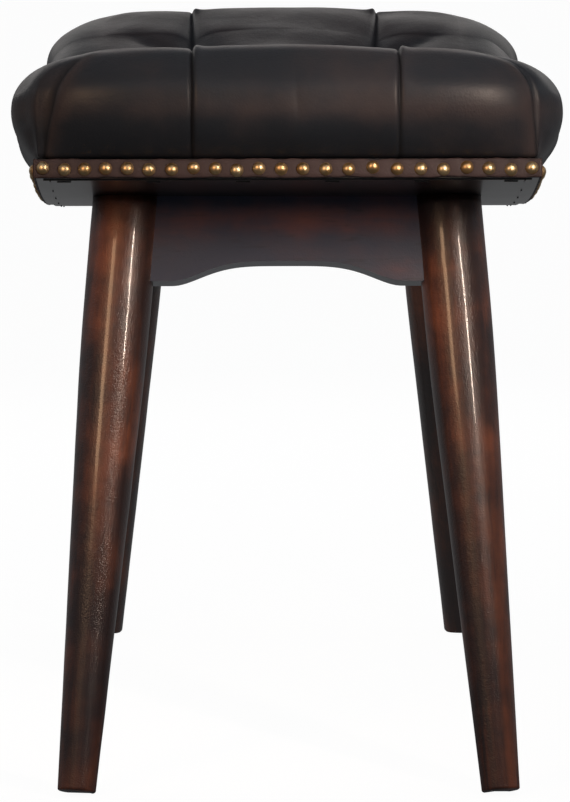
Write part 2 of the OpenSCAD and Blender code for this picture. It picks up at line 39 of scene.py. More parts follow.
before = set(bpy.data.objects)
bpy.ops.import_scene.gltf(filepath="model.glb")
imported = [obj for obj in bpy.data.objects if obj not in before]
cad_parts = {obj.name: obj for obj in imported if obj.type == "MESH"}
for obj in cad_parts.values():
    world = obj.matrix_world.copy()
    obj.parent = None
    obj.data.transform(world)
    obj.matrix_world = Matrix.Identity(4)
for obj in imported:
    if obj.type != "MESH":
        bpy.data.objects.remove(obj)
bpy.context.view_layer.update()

# Sides of the bench: left is -X, right is +X, front is -Y, back is +Y
CORNERS = {"front_left": (-1, -1), "front_right": (1, -1), "back_left": (-1, 1), "back_right": (1, 1)}


# Settings

def number(name, text, default, low=0.0, **kind):
    return FloatProperty(name=name, description=text, default=default, min=low, **kind)


def length(name, text, default, low=0.0):
    return number(name, text, default, low, unit="LENGTH", subtype="DISTANCE")


def power(name, text, default):
    return number(name, text, default, unit="POWER")


def share(name, text, default):
    return number(name, text, default, max=1.0, subtype="FACTOR")


def angle(name, text, degrees):
    return number(name, text, math.radians(degrees), -math.pi, unit="ROTATION", subtype="ANGLE")


def colour(name, text, default):
    return FloatVectorProperty(name=name, description=text, default=default, size=3, min=0.0, max=1.0,
                               subtype="COLOR")


class BenchSeat(bpy.types.PropertyGroup):
    crest_x: length("Crest length", "From mid length to the crest line of the cushion's ends", 0.402)
    crest_y: length("Crest depth", "From the middle to the crest line of the cushion's sides", 0.152)
    crest_r: length("Crest corner", "Radius of the crest line at its corners", 0.022)
    turn_share: number("Turn", "Radius in which the roll turns a corner, over the crest's", 1.55, 1.0)
    end_puff: length("End puff", "From each end of the crest line to the nearest button", 0.152)
    roll: length("Roll", "How far the cushion's roll stands out from its crest line", 0.0508)
    height: length("Height", "Height of the cushion above the board before it swells", 0.0734)
    end_gain: length("End gain", "Further height at the ends", 0.010)
    side_fall: length("Side fall", "How far the crown falls to the crest line", 0.006)
    shoulder: share("Shoulder", "How square the roll is: 1 makes a quarter of an ellipse", 0.88)
    wide_share: share("Widest", "Share of the cushion's height at which it is widest", 0.55)
    tuft: length("Tuft depth", "Depth of a button's pocket below the crown", 0.027)
    fold: length("Fold depth", "Depth of a fold half way between two buttons", 0.012)
    puff: length("Puff radius", "Distance over which the leather rounds up from a fold", 0.036)
    pleat: length("Pleat depth", "Depth of the pleats over the crest and down the sides", 0.0030)
    pleat_r: length("Pleat radius", "Rounding of the leather beside a pleat", 0.0036)
    ear: length("Ear", "Height of the lip where a pleat crosses the crest", 0.0030)
    tuck: length("Corner tuck", "Depth of the tucked fold beside each corner", 0.0060)
    button_d: length("Button diameter", "Diameter of a covered button", 0.022)
    button_h: length("Button height", "Height of a covered button", 0.008)
    pressure: number("Pressure", "Air pressure of the cloth simulation", 4.0)
    steps: IntProperty(name="Frames", description="Frames of the cloth simulation", default=20, min=1, max=60)
    swell: length("Swell cap", "How far the simulation may move a point", 0.006)


class BenchFrame(bpy.types.PropertyGroup):
    board_x: length("Board length", "From mid length to the board's end", 0.432)
    board_y: length("Board depth", "From the middle to the board's side", 0.182)
    board_t: length("Board thickness", "Thickness of the board", 0.014)
    board_rise: length("Board rise", "Rise of the board's ends above its middle", 0.043)
    seat_low: length("Board height", "Height of the covered underside at mid length", 0.407)
    cover_t: length("Cover thickness", "Thickness of the cover under the board", 0.001)
    band_t: length("Band thickness", "Thickness of the leather band", 0.002)
    nail_d: length("Nail diameter", "Diameter of a nail's head", 0.0097)
    nail_h: length("Nail height", "Height of a nail's head", 0.0034)
    nail_inset: length("Nail inset", "From the end of a band to its first nail", 0.0075)
    nail_pitch: length("Nail pitch", "Pitch aimed at between nails", 0.016)
    nail_low: length("Nail drop", "How far the nails stand below the middle of the band", 0.0007)
    foot_x: length("Foot along", "From mid length to the middle of a foot", 0.432)
    foot_y: length("Foot across", "From the middle to the middle of a foot", 0.155)
    splay_len: angle("Splay along", "Splay of the legs along the bench", 15.5)
    splay_dep: angle("Splay across", "Splay of the legs across the bench", 4.8)
    foot_d: length("Foot diameter", "Diameter of a leg at its foot", 0.028)
    leg_d: length("Leg diameter", "Diameter of a leg at its top", 0.050)
    taper_share: share("Straight taper", "Share of the taper that runs straight", 0.76)
    top_drop: length("Top drop", "From a rail's lower corner down to the parallel top", 0.006)
    rail_h: length("Rail height", "From the board's underside to a rail's lower corner", 0.064)
    foot_flat: length("Foot flat", "Depth of the flat dressed on a foot's low rim", 0.0014)
    rail_edge: length("Rail edge", "Rounding of the rails' edges", 0.0008)


class BenchFinish(bpy.types.PropertyGroup):
    # Painted shade and painted reflection: the dark leather is left showing in the hollows and down the
    # turned-under sides, where shade falls, and its blue tint stands in for the cool lamp's reflection. The
    # lighter leather colour stands for dye thinned by wear, and also for painted sheen on the roll, along the
    # crest and beside the corner folds.
    hide_dark: colour("Leather, dark", "Leather in the hollows and down the sides", (0.0155, 0.0190, 0.0250))
    hide_brown: colour("Leather, rubbed", "Leather where the dye is rubbed thin", (0.045, 0.036, 0.037))
    band: colour("Band", "Leather of the nailed band", (0.043, 0.029, 0.030))
    brass: colour("Brass", "Bright crown of a nail", (0.66, 0.51, 0.29))
    patina: colour("Patina", "Dark rim of a nail", (0.20, 0.115, 0.060))
    stain: colour("Stain", "Dark stain of the legs", (0.0230, 0.0100, 0.0080))
    wood: colour("Wood", "Lighter wood where the stain is thin", (0.360, 0.105, 0.040))
    # Painted reflection: the blue tint of this dark stain stands in for the bluish sheen of the cool lamps on
    # the rails.
    rail_stain_and_sheen: colour("Rail stain", "Dark stain of the rails", (0.0280, 0.0350, 0.0600))
    rail_wood: colour("Rail wood", "Redder wood of the rails", (0.140, 0.050, 0.044))
    lacquer: colour("Lacquer", "Black lacquer of the underside", (0.0055, 0.0055, 0.0060))
    foam: colour("Foam", "Foam of the seat's core", (0.80, 0.72, 0.45))
    twine: colour("Twine", "Waxed twine of the button ties", (0.05, 0.042, 0.035))
    steel: colour("Steel", "Zinc plated steel", (0.62, 0.62, 0.60))


class BenchStage(bpy.types.PropertyGroup):
    camera_x: length("Camera along", "Camera's place along X", 4.700, -20.0)
    camera_y: length("Camera across", "Camera's place along Y", -0.0222, -20.0)
    camera_z: length("Camera height", "Camera's height", 0.7153)
    pitch: angle("Pitch", "How far the camera looks down", 5.7045)
    yaw: angle("Yaw", "How far the camera looks toward +Y", 0.268)
    roll: angle("Roll", "Roll of the camera", 0.096)
    lens: number("Lens", "Focal length for a 36 mm high frame", 265.3, 1.0, unit="CAMERA")
    floor: colour("Floor", "Colour of the floor and the backdrop", (0.45, 0.45, 0.46))
    mirrored: number("Mirrored floor", "Brightness of the floor where something glossy mirrors it", 0.20)
    room: colour("Room", "Dim light of the room", (0.160, 0.164, 0.176))
    front_light: power("Front light", "Power of the cool lamp above the near end", 4.5)
    back_light: power("Back light", "Power of the lamp behind the bench", 9.0)
    top_light: power("Top light", "Power of the lamp overhead", 1.6)
    side_light: power("Side light", "Power of the lamp on either side", 3.0)
    pale_light: power("Pale strip", "Power of the narrow lamp", 0.55)
    warm_light: power("Warm strip", "Power of the wide warm lamp", 0.42)


# Shader maths

class Value:
    """A socket that can be used in sums; each operator adds its Math node."""

    def __init__(self, finish, socket):
        self.finish, self.socket = finish, socket

    def math(self, operation, *others):
        return self.finish.node("Math", {"operation": operation}, dict(enumerate(others)))

    def __add__(self, other):
        return self.math("ADD", self, other)

    def __radd__(self, other):
        return self.math("ADD", other, self)

    def __sub__(self, other):
        return self.math("SUBTRACT", self, other)

    def __rsub__(self, other):
        return self.math("SUBTRACT", other, self)

    def __mul__(self, other):
        return self.math("MULTIPLY", self, other)

    def ramp(self, low, high):
        """Soft step from 0 at low to 1 at high."""
        return self.finish.node("MapRange", {"interpolation_type": "SMOOTHSTEP"}, {
            "Value": self, "From Min": low, "From Max": high})


class Finish:
    """A node material for one finish."""

    def __init__(self, name):
        self.material = bpy.data.materials.get(name) or bpy.data.materials.new(name)
        self.material.use_nodes = True
        self.tree = self.material.node_tree
        self.tree.nodes.clear()

    def node(self, kind, settings=None, sockets=None, output=0):
        """Adds a node: settings first, then the values or links of its sockets."""
        made = self.tree.nodes.new("ShaderNode" + kind)
        for key, value in (settings or {}).items():
            setattr(made, key, value)
        for key, value in (sockets or {}).items():
            target = self.find(made, key)
            if isinstance(value, Value):
                self.tree.links.new(value.socket, target)
            elif target.type == "RGBA" and len(value) == 3:
                target.default_value = (*value, 1.0)
            else:
                target.default_value = value
        return Value(self, made.outputs[output]) if len(made.outputs) else None

    @staticmethod
    def find(node, key):
        """Socket with this number, identifier or name."""
        if isinstance(key, int):
            return node.inputs[key]
        for socket in node.inputs:
            if socket.identifier == key:
                return socket
        for socket in node.inputs:
            if socket.name == key and socket.enabled:
                return socket
        raise KeyError(f"{node.bl_idname} has no socket {key}")

    def mix(self, first, second, factor):
        """Colour between two colours."""
        return self.node("Mix", {"data_type": "RGBA"}, {
            "Factor_Float": factor, "A_Color": first, "B_Color": second}, 2)

    def place(self, stretch=(1.0, 1.0, 1.0)):
        """Position on the object, stretched."""
        where = self.node("TexCoord", output=3)
        return self.node("VectorMath", {"operation": "MULTIPLY"}, {0: where, 1: stretch})

    def carried(self, name, output=2):
        """A value that the mesh carries: output 2 is a number, 1 a vector."""
        return self.node("Attribute", {"attribute_name": name}, output=output)

    def noise(self, vector, scale, detail=4.0, rough=0.55, distortion=0.0):
        return self.node("TexNoise", None, {"Vector": vector, "Scale": scale, "Detail": detail,
                                            "Roughness": rough, "Distortion": distortion})

    def bump(self, height, strength, distance, normal=None):
        sockets = {"Height": height, "Strength": strength, "Distance": distance}
        if normal is not None:
            sockets["Normal"] = normal
        return self.node("Bump", None, sockets)

    def surface(self, sockets):
        """The Principled shader and the material's output."""
        shader = self.node("BsdfPrincipled", None, sockets)
        self.node("OutputMaterial", None, {"Surface": shader})
        return self.material


def toned(tone, gain):
    """A colour times one number."""
    return tuple(gain * c for c in tone)


def leather(name, dark, rubbed_and_lit, gloss, grain_strength, rub_bias=0.0):
    """Waxed leather: pebbled grain, lighter where the dye is thinned on the ridges and where painted sheen
    lies, and darker in the folds as painted shade.
    """
    f = Finish(name)
    where = f.place()
    cloud = f.noise(where, 9.0, 5.0, 0.6)
    patch = f.noise(where, 34.0, 4.0, 0.6)
    rub = f.carried("rub")
    crease_shade = f.carried("crease_shade")
    # Lighter colour where the noise is high and where the mesh carries wear and painted sheen
    worn_and_lit = (cloud * 0.9 + patch * 0.4 + rub * 0.55 + rub_bias).ramp(0.55, 1.15)
    base = f.mix(dark, rubbed_and_lit, worn_and_lit)
    # Painted shade: much darker along the creases, pleats, button pockets and corner folds, where nails pinch
    # a band and round the base of each button
    base = f.mix(base, toned(dark, 0.35), crease_shade * 0.85)
    cells = f.node("TexVoronoi", {"feature": "SMOOTH_F1"},
                   {"Vector": where, "Scale": 620.0, "Smoothness": 0.4})
    fine = f.noise(where, 1500.0, 2.0, 0.5)
    creep = f.noise(f.place((1.0, 1.0, 1.6)), 120.0, 3.0, 0.6, 0.8)
    soft = f.bump(f.noise(where, 42.0, 3.0, 0.5), 0.25, 0.0016)
    wrinkle = f.bump(creep, 0.22, 0.0006, soft)
    pebble = f.bump(cells * 0.8 + fine * 0.3, grain_strength, 0.00035, wrinkle)
    rough = gloss + patch * 0.10 + crease_shade * 0.25 - rub * 0.04 + cells * 0.05
    return f.surface({"Base Color": base, "Roughness": rough, "Normal": pebble, "Specular IOR Level": 0.20,
                      "Coat Weight": 0.03, "Coat Roughness": 0.30})


def antique_brass(name, bright, patina):
    """Brass that is polished on the crown and browned at the rim."""
    f = Finish(name)
    where = f.place()
    rim = f.carried("rim")
    spots = f.noise(where, 420.0, 4.0, 0.65)
    age = (rim * 0.95 + spots * 0.55).ramp(0.65, 1.45)
    browned = tuple(c * s for c, s in zip(bright, (0.80, 0.68, 0.55)))
    tone = f.mix(bright, browned, f.noise(where, 60.0).ramp(0.4, 0.62))
    base = f.mix(tone, patina, age)
    dents = f.bump(f.noise(where, 300.0, 2.0), 0.35, 0.0004)
    return f.surface({"Base Color": base, "Metallic": 1.0 - age * 0.35,
                      "Roughness": 0.36 + age * 0.22 + spots * 0.08, "Normal": dents})


def stained_wood(name, stain, wood, stretch, gloss, light, speckle):
    """Stained, lacquered wood with drawn-out grain, lighter in streaks of wear."""
    f = Finish(name)
    along = f.place(stretch) if stretch else f.carried("grain", 1)
    figure = f.noise(along, 7.0, 6.0, 0.62, 0.6)
    streak = f.noise(along, 26.0, 5.0, 0.7, 0.2)
    pores = f.noise(along, 95.0, 3.0, 0.75)
    blotch = f.noise(f.place(), 13.0, 4.0, 0.6)
    thin = (figure * 0.75 + streak * 0.35 + blotch * 0.55).ramp(1.12 - light * 0.5, 1.42 - light * 0.4)
    base = f.mix(stain, wood, thin)
    base = f.mix(base, toned(stain, 0.4), pores.ramp(0.56, 0.72) * 0.6)
    orange = f.noise(f.place(), 320.0, 3.0, 0.6)
    waves = f.bump(f.noise(f.place(), 38.0, 2.0), 0.30, 0.0012)
    fine = f.noise(f.place(), 850.0, 2.0, 0.5)
    grit = f.bump((orange + fine * 0.9) * speckle + pores * 0.6, 0.48, 0.00040, waves)
    return f.surface({"Base Color": base, "Roughness": gloss + blotch * 0.10 + pores * 0.10, "Normal": grit,
                      "Specular IOR Level": 0.5, "Coat Weight": 0.35, "Coat Roughness": 0.12})


def black_lacquer(name, tone):
    """Black lacquer, with a slow wave and a few scuffs."""
    f = Finish(name)
    where = f.place()
    scuff = f.noise(f.place((1.0, 3.0, 1.0)), 30.0, 6.0, 0.7, 0.4).ramp(0.66, 0.80)
    base = f.mix(tone, tuple(6.0 * c + 0.01 for c in tone), scuff * 0.5)
    wave = f.bump(f.noise(where, 11.0, 2.0), 0.25, 0.0015)
    dust = f.bump(f.noise(where, 600.0, 2.0), 0.05, 0.0002, wave)
    return f.surface({"Base Color": base, "Roughness": 0.30 + scuff * 0.2 + f.noise(where, 18.0) * 0.05,
                      "Normal": dust, "Coat Weight": 0.25, "Coat Roughness": 0.12})


def plain_finish(name, tone, gloss, metal, scale, depth):
    """A workaday finish with mottling and a fine relief."""
    f = Finish(name)
    where = f.place()
    mottle = f.noise(where, scale, 4.0, 0.6)
    base = f.mix(toned(tone, 0.72), tone, mottle.ramp(0.35, 0.65))
    relief = f.bump(f.noise(where, scale * 9.0, 3.0), 0.4, depth)
    return f.surface({"Base Color": base, "Roughness": gloss + mottle * 0.15, "Metallic": metal,
                      "Normal": relief})


# Materials made so far
MADE = {}


def finish(name):
    """The material of a finish, made once: its maker, colours and numbers stand in one table."""
    c = bpy.context.scene.bench_finish
    table = {
        "seat_leather": (leather, c.hide_dark, c.hide_brown, 0.38, 0.25),
        "button_leather": (leather, c.hide_dark, c.hide_brown, 0.34, 0.35, 0.1),
        "band_leather": (leather, toned(c.band, 0.6), c.band, 0.46, 0.45, 0.35),
        "antique_brass": (antique_brass, c.brass, c.patina),
        "leg_wood": (stained_wood, c.stain, c.wood, None, 0.28, 0.74, 1.6),
        "end_rail_wood": (stained_wood, c.rail_stain_and_sheen, c.rail_wood, (1.0, 0.16, 1.0), 0.24, 0.58, 0.6),
        "side_rail_wood": (stained_wood, c.rail_stain_and_sheen, c.rail_wood, (0.16, 1.0, 1.0), 0.24, 0.58, 0.6),
        "block_wood": (stained_wood, c.stain, toned(c.wood, 0.6), (1.0, 1.0, 0.10), 0.42, 0.4, 0.8),
        "board_black": (black_lacquer, c.lacquer),
        "under_lacquer": (black_lacquer, c.lacquer),
        "black_wire": (black_lacquer, c.lacquer),
        "core_foam": (plain_finish, c.foam, 0.80, 0.0, 55.0, 0.0009),
        "waxed_twine": (plain_finish, c.twine, 0.60, 0.0, 240.0, 0.0004),
        "zinc_steel": (plain_finish, c.steel, 0.32, 1.0, 160.0, 0.0001),
    }
    if name not in MADE:
        maker, *values = table[name]
        MADE[name] = maker(name, *values)
    return MADE[name]


# Geometry of the seat's arc

class Arc:
    """The seat's long arc about an axis above the bench, along Y: radii of its layers."""

    def __init__(self):
        s = bpy.context.scene.bench_frame
        self.under = (s.board_x ** 2 + s.board_rise ** 2) / (2 * s.board_rise)
        self.axis_z = s.seat_low + self.under
        self.bottom = self.under - s.cover_t
        self.mid = self.bottom - s.board_t / 2
        self.top = self.bottom - s.board_t
        self.angle = math.asin(s.board_x / self.bottom)
        self.top_x = self.top * math.sin(self.angle)

    def z(self, radius, x):
        return self.axis_z - np.sqrt(radius * radius - np.square(x))


def smooth(t):
    t = np.clip(t, 0.0, 1.0)
    return t * t * (3 - 2 * t)


def blend(a, b, t):
    return a + (b - a) * t


def off_even(s):
    """Distance from the nearest even number."""
    return np.abs(s - 2 * np.round(s / 2))


def past(value, limit):
    """How far a value lies past a limit, on either side of zero."""
    return np.maximum(np.abs(value) - limit, 0)


def at_corner(table, u, v):
    """The number that a table of corners holds for each lattice place."""
    return sum(value * ((np.sign(u) == end) & (np.where(v < 0, -1, 1) == side))
               for (end, side), value in table.items())


def rise(t):
    """Quarter circle: 0 at a fold, upright there, and 1 from t = 1 on."""
    t = np.clip(t, 0.0, 1.0)
    return np.sqrt(np.maximum(1 - (1 - t) ** 2, 0))


def ripple(seed, *axes):
    """Smooth, repeatable irregularity between about -1 and 1, from six seeded waves."""
    rng = np.random.default_rng(seed)
    total = 0.0
    for n in range(6):
        turn = rng.uniform(0, 2 * math.pi)
        across = sum(a * rng.normal(0, 1) for a in axes)
        total = total + np.sin(across * (1 + 0.55 * n) + turn) / (1 + 0.5 * n)
    return total / 2.6


def mesh_piece(name, verts, faces, look, node):
    """Makes a smooth shaded piece that stands for a CAD node and rides with the bench."""
    mesh = bpy.data.meshes.new(name)
    mesh.from_pydata([tuple(map(float, v)) for v in verts], [], [tuple(map(int, f)) for f in faces])
    mesh.validate()
    mesh.update()
    mesh.polygons.foreach_set("use_smooth", [True] * len(mesh.polygons))
    mesh.materials.append(finish(look))
    piece = bpy.data.objects.new(name, mesh)
    bpy.context.scene.collection.objects.link(piece)
    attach(piece, "root")
    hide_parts(node)
    return piece


def carry(piece, name, values):
    """Stores one number for each vertex."""
    stored = piece.data.attributes.new(name, "FLOAT", "POINT")
    stored.data.foreach_set("value", np.asarray(values, dtype=np.float32).ravel())


def carry_vector(piece, name, values):
    """Stores three numbers for each vertex."""
    stored = piece.data.attributes.new(name, "FLOAT_VECTOR", "POINT")
    stored.data.foreach_set("vector", np.asarray(values, dtype=np.float32).ravel())


def normals_outward(piece):
    """Turns every closed shell so that its faces look outward."""
    work = bmesh.new()
    work.from_mesh(piece.data)
    bmesh.ops.recalc_face_normals(work, faces=work.faces)
    work.to_mesh(piece.data)
    work.free()
    piece.data.update()


def dress_node(node, look):
    """Gives a CAD node that stays its material."""
    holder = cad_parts[node]
    holder.data.materials.clear()
    holder.data.materials.append(finish(look))
    return holder


# Orders in which a quad of a tube takes its corners: two of one row are 0 and 1, of the next 2 and 3
FORWARD, BACKWARD, LATHE_ORDER = (0, 1, 3, 2), (0, 2, 3, 1), (1, 0, 2, 3)


def tube(rows, segments, order):
    """Faces of a closed tube of rows of points, and of its two ends."""
    faces = []
    for k in range(rows - 1):
        for n in range(segments):
            a, b = k * segments + n, k * segments + (n + 1) % segments
            corners = (a, b, a + segments, b + segments)
            faces.append(tuple(corners[i] for i in order))
    first, last = tuple(range(segments)), tuple(range((rows - 1) * segments, rows * segments))
    return faces + ([first[::-1], last] if order == FORWARD else [first, last[::-1]])


def lathe(profile, segments):
    """Verts and faces of a closed turned form about Z, from its top point to its base point."""
    angles = np.linspace(0, 2 * math.pi, segments, endpoint=False)
    verts = [(r * math.cos(a), r * math.sin(a), z) for r, z in profile for a in angles]
    return np.array(verts), tube(len(profile), segments, LATHE_ORDER)


def add_copy(verts, faces, points, pattern):
    """Adds one more copy of a form: its own points, and the faces that all copies share."""
    base = len(verts)
    verts += [tuple(p) for p in points]
    faces += [tuple(i + base for i in face) for face in pattern]


# Cushion

# Grid cells from one lattice line to the next, and how strongly they crowd toward the lines
CELLS = 14
WARP = 0.8
# Rings of points down the rolled sides
RINGS = 18
# Where an outer row ends, in half pitches, and where the grid ends: two units on, at the crest line
LAST = 4
EDGE = 6
# Lattice places beyond these count as on the grid's ends, and on its sides
END_ROW = EDGE - 0.001
SIDE_ROW = 2 - 0.001
# How far each end pleat stands toward +Y from its button row: end, side
PLEAT_SHIFT = {(1, -1): 0.0078, (1, 1): 0.0052, (-1, -1): -0.0023, (-1, 1): 0.0053}
# How far the hand-stuffed crest sags at each corner, or stands up where it is negative: end, side
SAG = {(1, -1): 0.0002, (1, 1): 0.0010, (-1, -1): 0.0, (-1, 1): -0.0003}
# Side of each end pleat that its lip stands on, 1 outward and -1 toward the middle: end, side
EAR_SIDE = {(1, -1): -1, (1, 1): 1, (-1, -1): -1, (-1, 1): -1}
# How deep each corner's fold is tucked: end, side
TUCKED = {(1, -1): 1.0, (1, 1): 0.6, (-1, -1): 0.7, (-1, 1): 0.6}
# Row in which each corner's fold runs, at the crest and at the board: end, side
FOLD_HIGH = {(1, -1): 1.80, (1, 1): 1.92, (-1, -1): 1.84, (-1, 1): 1.82}
FOLD_LOW = {(1, -1): 1.955, (1, 1): 1.985, (-1, -1): 1.96, (-1, 1): 1.95}
# Where the same fold reaches the long sides, in half pitches: at the crest and at the board
SIDE_FOLD = (5.62, 5.93)
# Length that one row or half pitch stands for beside a corner's fold
FOLD_UNIT = 0.130
# Rows from which, and grid lines to which, the rings are drawn together at a corner's fold
FOLD_FROM = 1.4
FOLD_LINES = (1.838, 1.910)
# Run of the fold from the last outer button toward the corner, along and across, and its half width
CORNER_RUN = (0.092, 0.060)
CORNER_HALF = 0.020
# A corner's tuck: lengths over which its step runs out beyond the fold, and before it, where it swells
TUCK_OUT, TUCK_IN, TUCK_SWELL = 0.012, 0.007, 0.22
# A button's pocket: how far its rim rounds off, and how far the button's pull reaches
POCKET_RIM, PULL = 0.010, 0.017
# A pleat's lip: how far outside the crest line its middle lies, its half width and its half length
EAR_OUT, EAR_WIDE, EAR_LONG = 0.002, 0.0030, 0.012
# Share of the crest's length from which the ends rise
END_FROM = 0.55
# Unevenness of the leather on the top and on the rolled sides
SKIN_TOP, SKIN_SIDE = 0.0008, 0.0007
# How far the rolled end puffs out, most of all in its middle and beside its pleats
ROLL_PUFF = 0.0016
# Distance from a pleat, and from a corner's fold, within which the simulation is held back
HELD_PLEAT, HELD_FOLD = 0.006, 0.010
# Ring round which the roll is lightest, with wear and painted sheen, and the spread of that band; below it
# the roll is left dark as painted shade where it turns under
WORN_LIT_RING, WORN_LIT_SPREAD = 9.7, 1.9
# Passes that even out the simulation's moves
EVEN_PASSES = 14


def warped(low, high):
    """Grid lines, closer together near whole numbers, where the pleats and buttons are."""
    t = np.linspace(low, high, (high - low) * CELLS + 1)
    return t - WARP * np.sin(2 * math.pi * t) / (2 * math.pi)


def buttons():
    """Lattice places of the buttons."""
    return [(u, v) for u in (-4, -2, 0, 2, 4) for v in (-1, 1)] + [(u, 0) for u in (-3, -1, 1, 3)]


class Cushion:
    """Shape of the cushion: u runs along in half pitches, v across in rows."""

    def __init__(self):
        self.s = bpy.context.scene.bench_seat
        self.f = bpy.context.scene.bench_frame
        self.arc = Arc()
        self.inner = self.s.crest_x - self.s.end_puff
        self.pu = self.inner / LAST
        self.pe = self.s.end_puff / (EDGE - LAST)
        self.pv = self.s.crest_y / 2

    def along(self, u):
        """Distance from mid length: the end puffs are longer than the others."""
        return np.sign(u) * (np.minimum(np.abs(u), LAST) * self.pu + past(u, LAST) * self.pe)

    def shifted(self, u, v):
        """Sideways step that brings the end pleats to their places."""
        gain = smooth((np.abs(u) - LAST) / (EDGE - LAST)) * (1 - np.clip(np.abs(v) / 2, 0, 1) ** 3)
        across = smooth((v + 1) / 2)
        near = blend(PLEAT_SHIFT[1, -1], PLEAT_SHIFT[1, 1], across)
        far = blend(PLEAT_SHIFT[-1, -1], PLEAT_SHIFT[-1, 1], across)
        return gain * np.where(u > 0, near, far)

    def fold_share(self, u, v):
        """0 on a fold, 1 on the crown of a puff."""
        s, au, av = self.s, np.abs(u), np.abs(v)
        scale = 1 / math.hypot(1 / self.pu, 1 / self.pv)
        inner = rise(off_even(u + v + 1) * scale / s.puff) * rise(off_even(u - v + 1) * scale / s.puff)
        out_v, out_u = smooth(av - 1), smooth((au - LAST) / (EDGE - LAST))
        d_side = np.where(au > LAST, au - LAST, off_even(u))
        side = rise(d_side * blend(scale, self.pu, out_v) / blend(s.puff, s.pleat_r, out_v))
        end = rise(np.abs(av - 1) * blend(scale, self.pv, out_u) / blend(s.puff, s.pleat_r, out_u))
        side, end = side ** blend(2, 1, out_v), end ** blend(2, 1, out_u)
        share_in = np.where(av > 1, np.where(au > LAST, side * end, side), np.where(au > LAST, end, inner))
        return share_in * self.corner_fold(u, v)

    def corner_fold(self, u, v):
        """The fold that runs from the last outer button toward the corner."""
        x, y = np.abs(self.along(u)) - self.inner, np.abs(v) * self.pv - self.pv
        run_x, run_y = CORNER_RUN
        size = math.hypot(run_x, run_y)
        t = (x * run_x + y * run_y) / size ** 2
        off = np.abs(x * run_y - y * run_x) / size
        off = np.hypot(off, np.minimum(t, 0) * size)
        keep = smooth((t - 0.45) / 0.60)
        return blend(np.where(t > -0.1, rise(off / CORNER_HALF), 1.0), 1.0, keep)

    def button_gap(self, u, v):
        """Distance from the nearest button's middle."""
        x, y = self.along(u), v * self.pv
        return np.min([np.hypot(x - b[0] * self.pu, y - b[1] * self.pv) for b in buttons()], axis=0)

    def drop(self, u, v):
        """Depth of the surface below the crown."""
        s, gap = self.s, self.button_gap(u, v)
        edge = s.button_d / 2
        pocket = smooth((gap - edge) / POCKET_RIM)
        fade = smooth(np.maximum(past(v, 1), past(u, LAST) / (EDGE - LAST)))
        pull = np.exp(-past(gap, edge) / PULL) * (1 - 0.85 * fade)
        depth = blend(s.fold, s.pleat, fade) + (s.tuft - s.fold) * pull
        share_in = self.fold_share(u, v)
        return depth * (1 - share_in * pocket), share_in

    def crown(self, x):
        """Height of the crown above the board."""
        s = self.s
        return s.height + s.end_gain * smooth((np.abs(x) / s.crest_x - END_FROM) / (1 - END_FROM))

    def squircle(self, x, y):
        """Rounds the corners of the rectangular grid."""
        s = self.s
        sx, sy = np.abs(x) - (s.crest_x - s.crest_r), np.abs(y) - (s.crest_y - s.crest_r)
        both = (sx > 0) & (sy > 0)
        factor = np.where(both, np.maximum(sx, sy) / np.maximum(np.hypot(sx, sy), 1e-9), 1.0)
        nx = np.where(both, s.crest_x - s.crest_r + sx * factor, np.abs(x)) * np.sign(x)
        ny = np.where(both, s.crest_y - s.crest_r + sy * factor, np.abs(y)) * np.sign(y)
        return nx, ny

    def ears(self, x, v):
        """Small lips where the end pleats cross the crest."""
        s, total = self.s, 0.0
        for (end, side), way in EAR_SIDE.items():
            dy = v * self.pv - side * (self.pv + way * s.pleat_r)
            dx = x - end * (s.crest_x + EAR_OUT)
            total = total + s.ear * np.exp(-(dy / EAR_WIDE) ** 2 - (dx / EAR_LONG) ** 2)
        return total

    def sag(self, u, v):
        """How far the crest sags toward each corner."""
        reach = smooth((np.abs(u) - LAST + 1) / (EDGE - LAST + 1)) * np.clip(np.abs(v) - 0.95, 0, 2) ** 1.25
        return reach * at_corner(SAG, u, v)

    def surface(self, u, v):
        """Place of the crown at lattice places, and its share of a fold."""
        x, y = self.squircle(self.along(u), v * self.pv)
        drop, share_in = self.drop(u, v)
        fall = self.s.side_fall * (np.abs(y) / self.s.crest_y) ** 5 + self.sag(u, v)
        z = self.arc.z(self.arc.top, x) + self.crown(x) - fall - drop + self.ears(x, v)
        z = z + SKIN_TOP * ripple(3, x * 40, y * 45) * share_in
        return x, y + self.shifted(u, v), z, share_in

    def top(self):
        """The grid of the tufted top, and what its points carry."""
        u, v = np.meshgrid(warped(-EDGE, EDGE), warped(-2, 2), indexing="ij")
        return (u, v, *self.surface(u, v))

    def rim(self):
        """Grid indices once round the boundary, counter-clockwise from the front left."""
        nu, nv = 2 * EDGE * CELLS, 4 * CELLS
        return ([(i, 0) for i in range(nu)] + [(nu, j) for j in range(nv)]
                + [(i, nv) for i in range(nu, 0, -1)] + [(0, j) for j in range(nv, 0, -1)])

    def fold_row(self, u, v, low):
        """Row at which a corner's fold runs, at a share of the way down."""
        return blend(at_corner(FOLD_HIGH, u, v), at_corner(FOLD_LOW, u, v), low)

    def slid(self, u, v, k):
        """Rows of ring k, drawn together on both sides of the corners' folds."""
        row, close, av = self.fold_row(u, v, k / RINGS), 0.006, np.abs(v)
        inside, outside = FOLD_LINES
        drawn = blend(FOLD_FROM, row - close, (av - FOLD_FROM) / (inside - FOLD_FROM))
        drawn = np.where(av < FOLD_FROM, av, drawn)
        between = blend(row - close, row + close, (av - inside) / (outside - inside))
        drawn = np.where(av > inside, between, drawn)
        drawn = np.where(av > outside, blend(row + close, 2.0, (av - outside) / (2.0 - outside)), drawn)
        return np.where(np.abs(u) > END_ROW, np.sign(v) * blend(av, drawn, smooth(k / 3)), v)

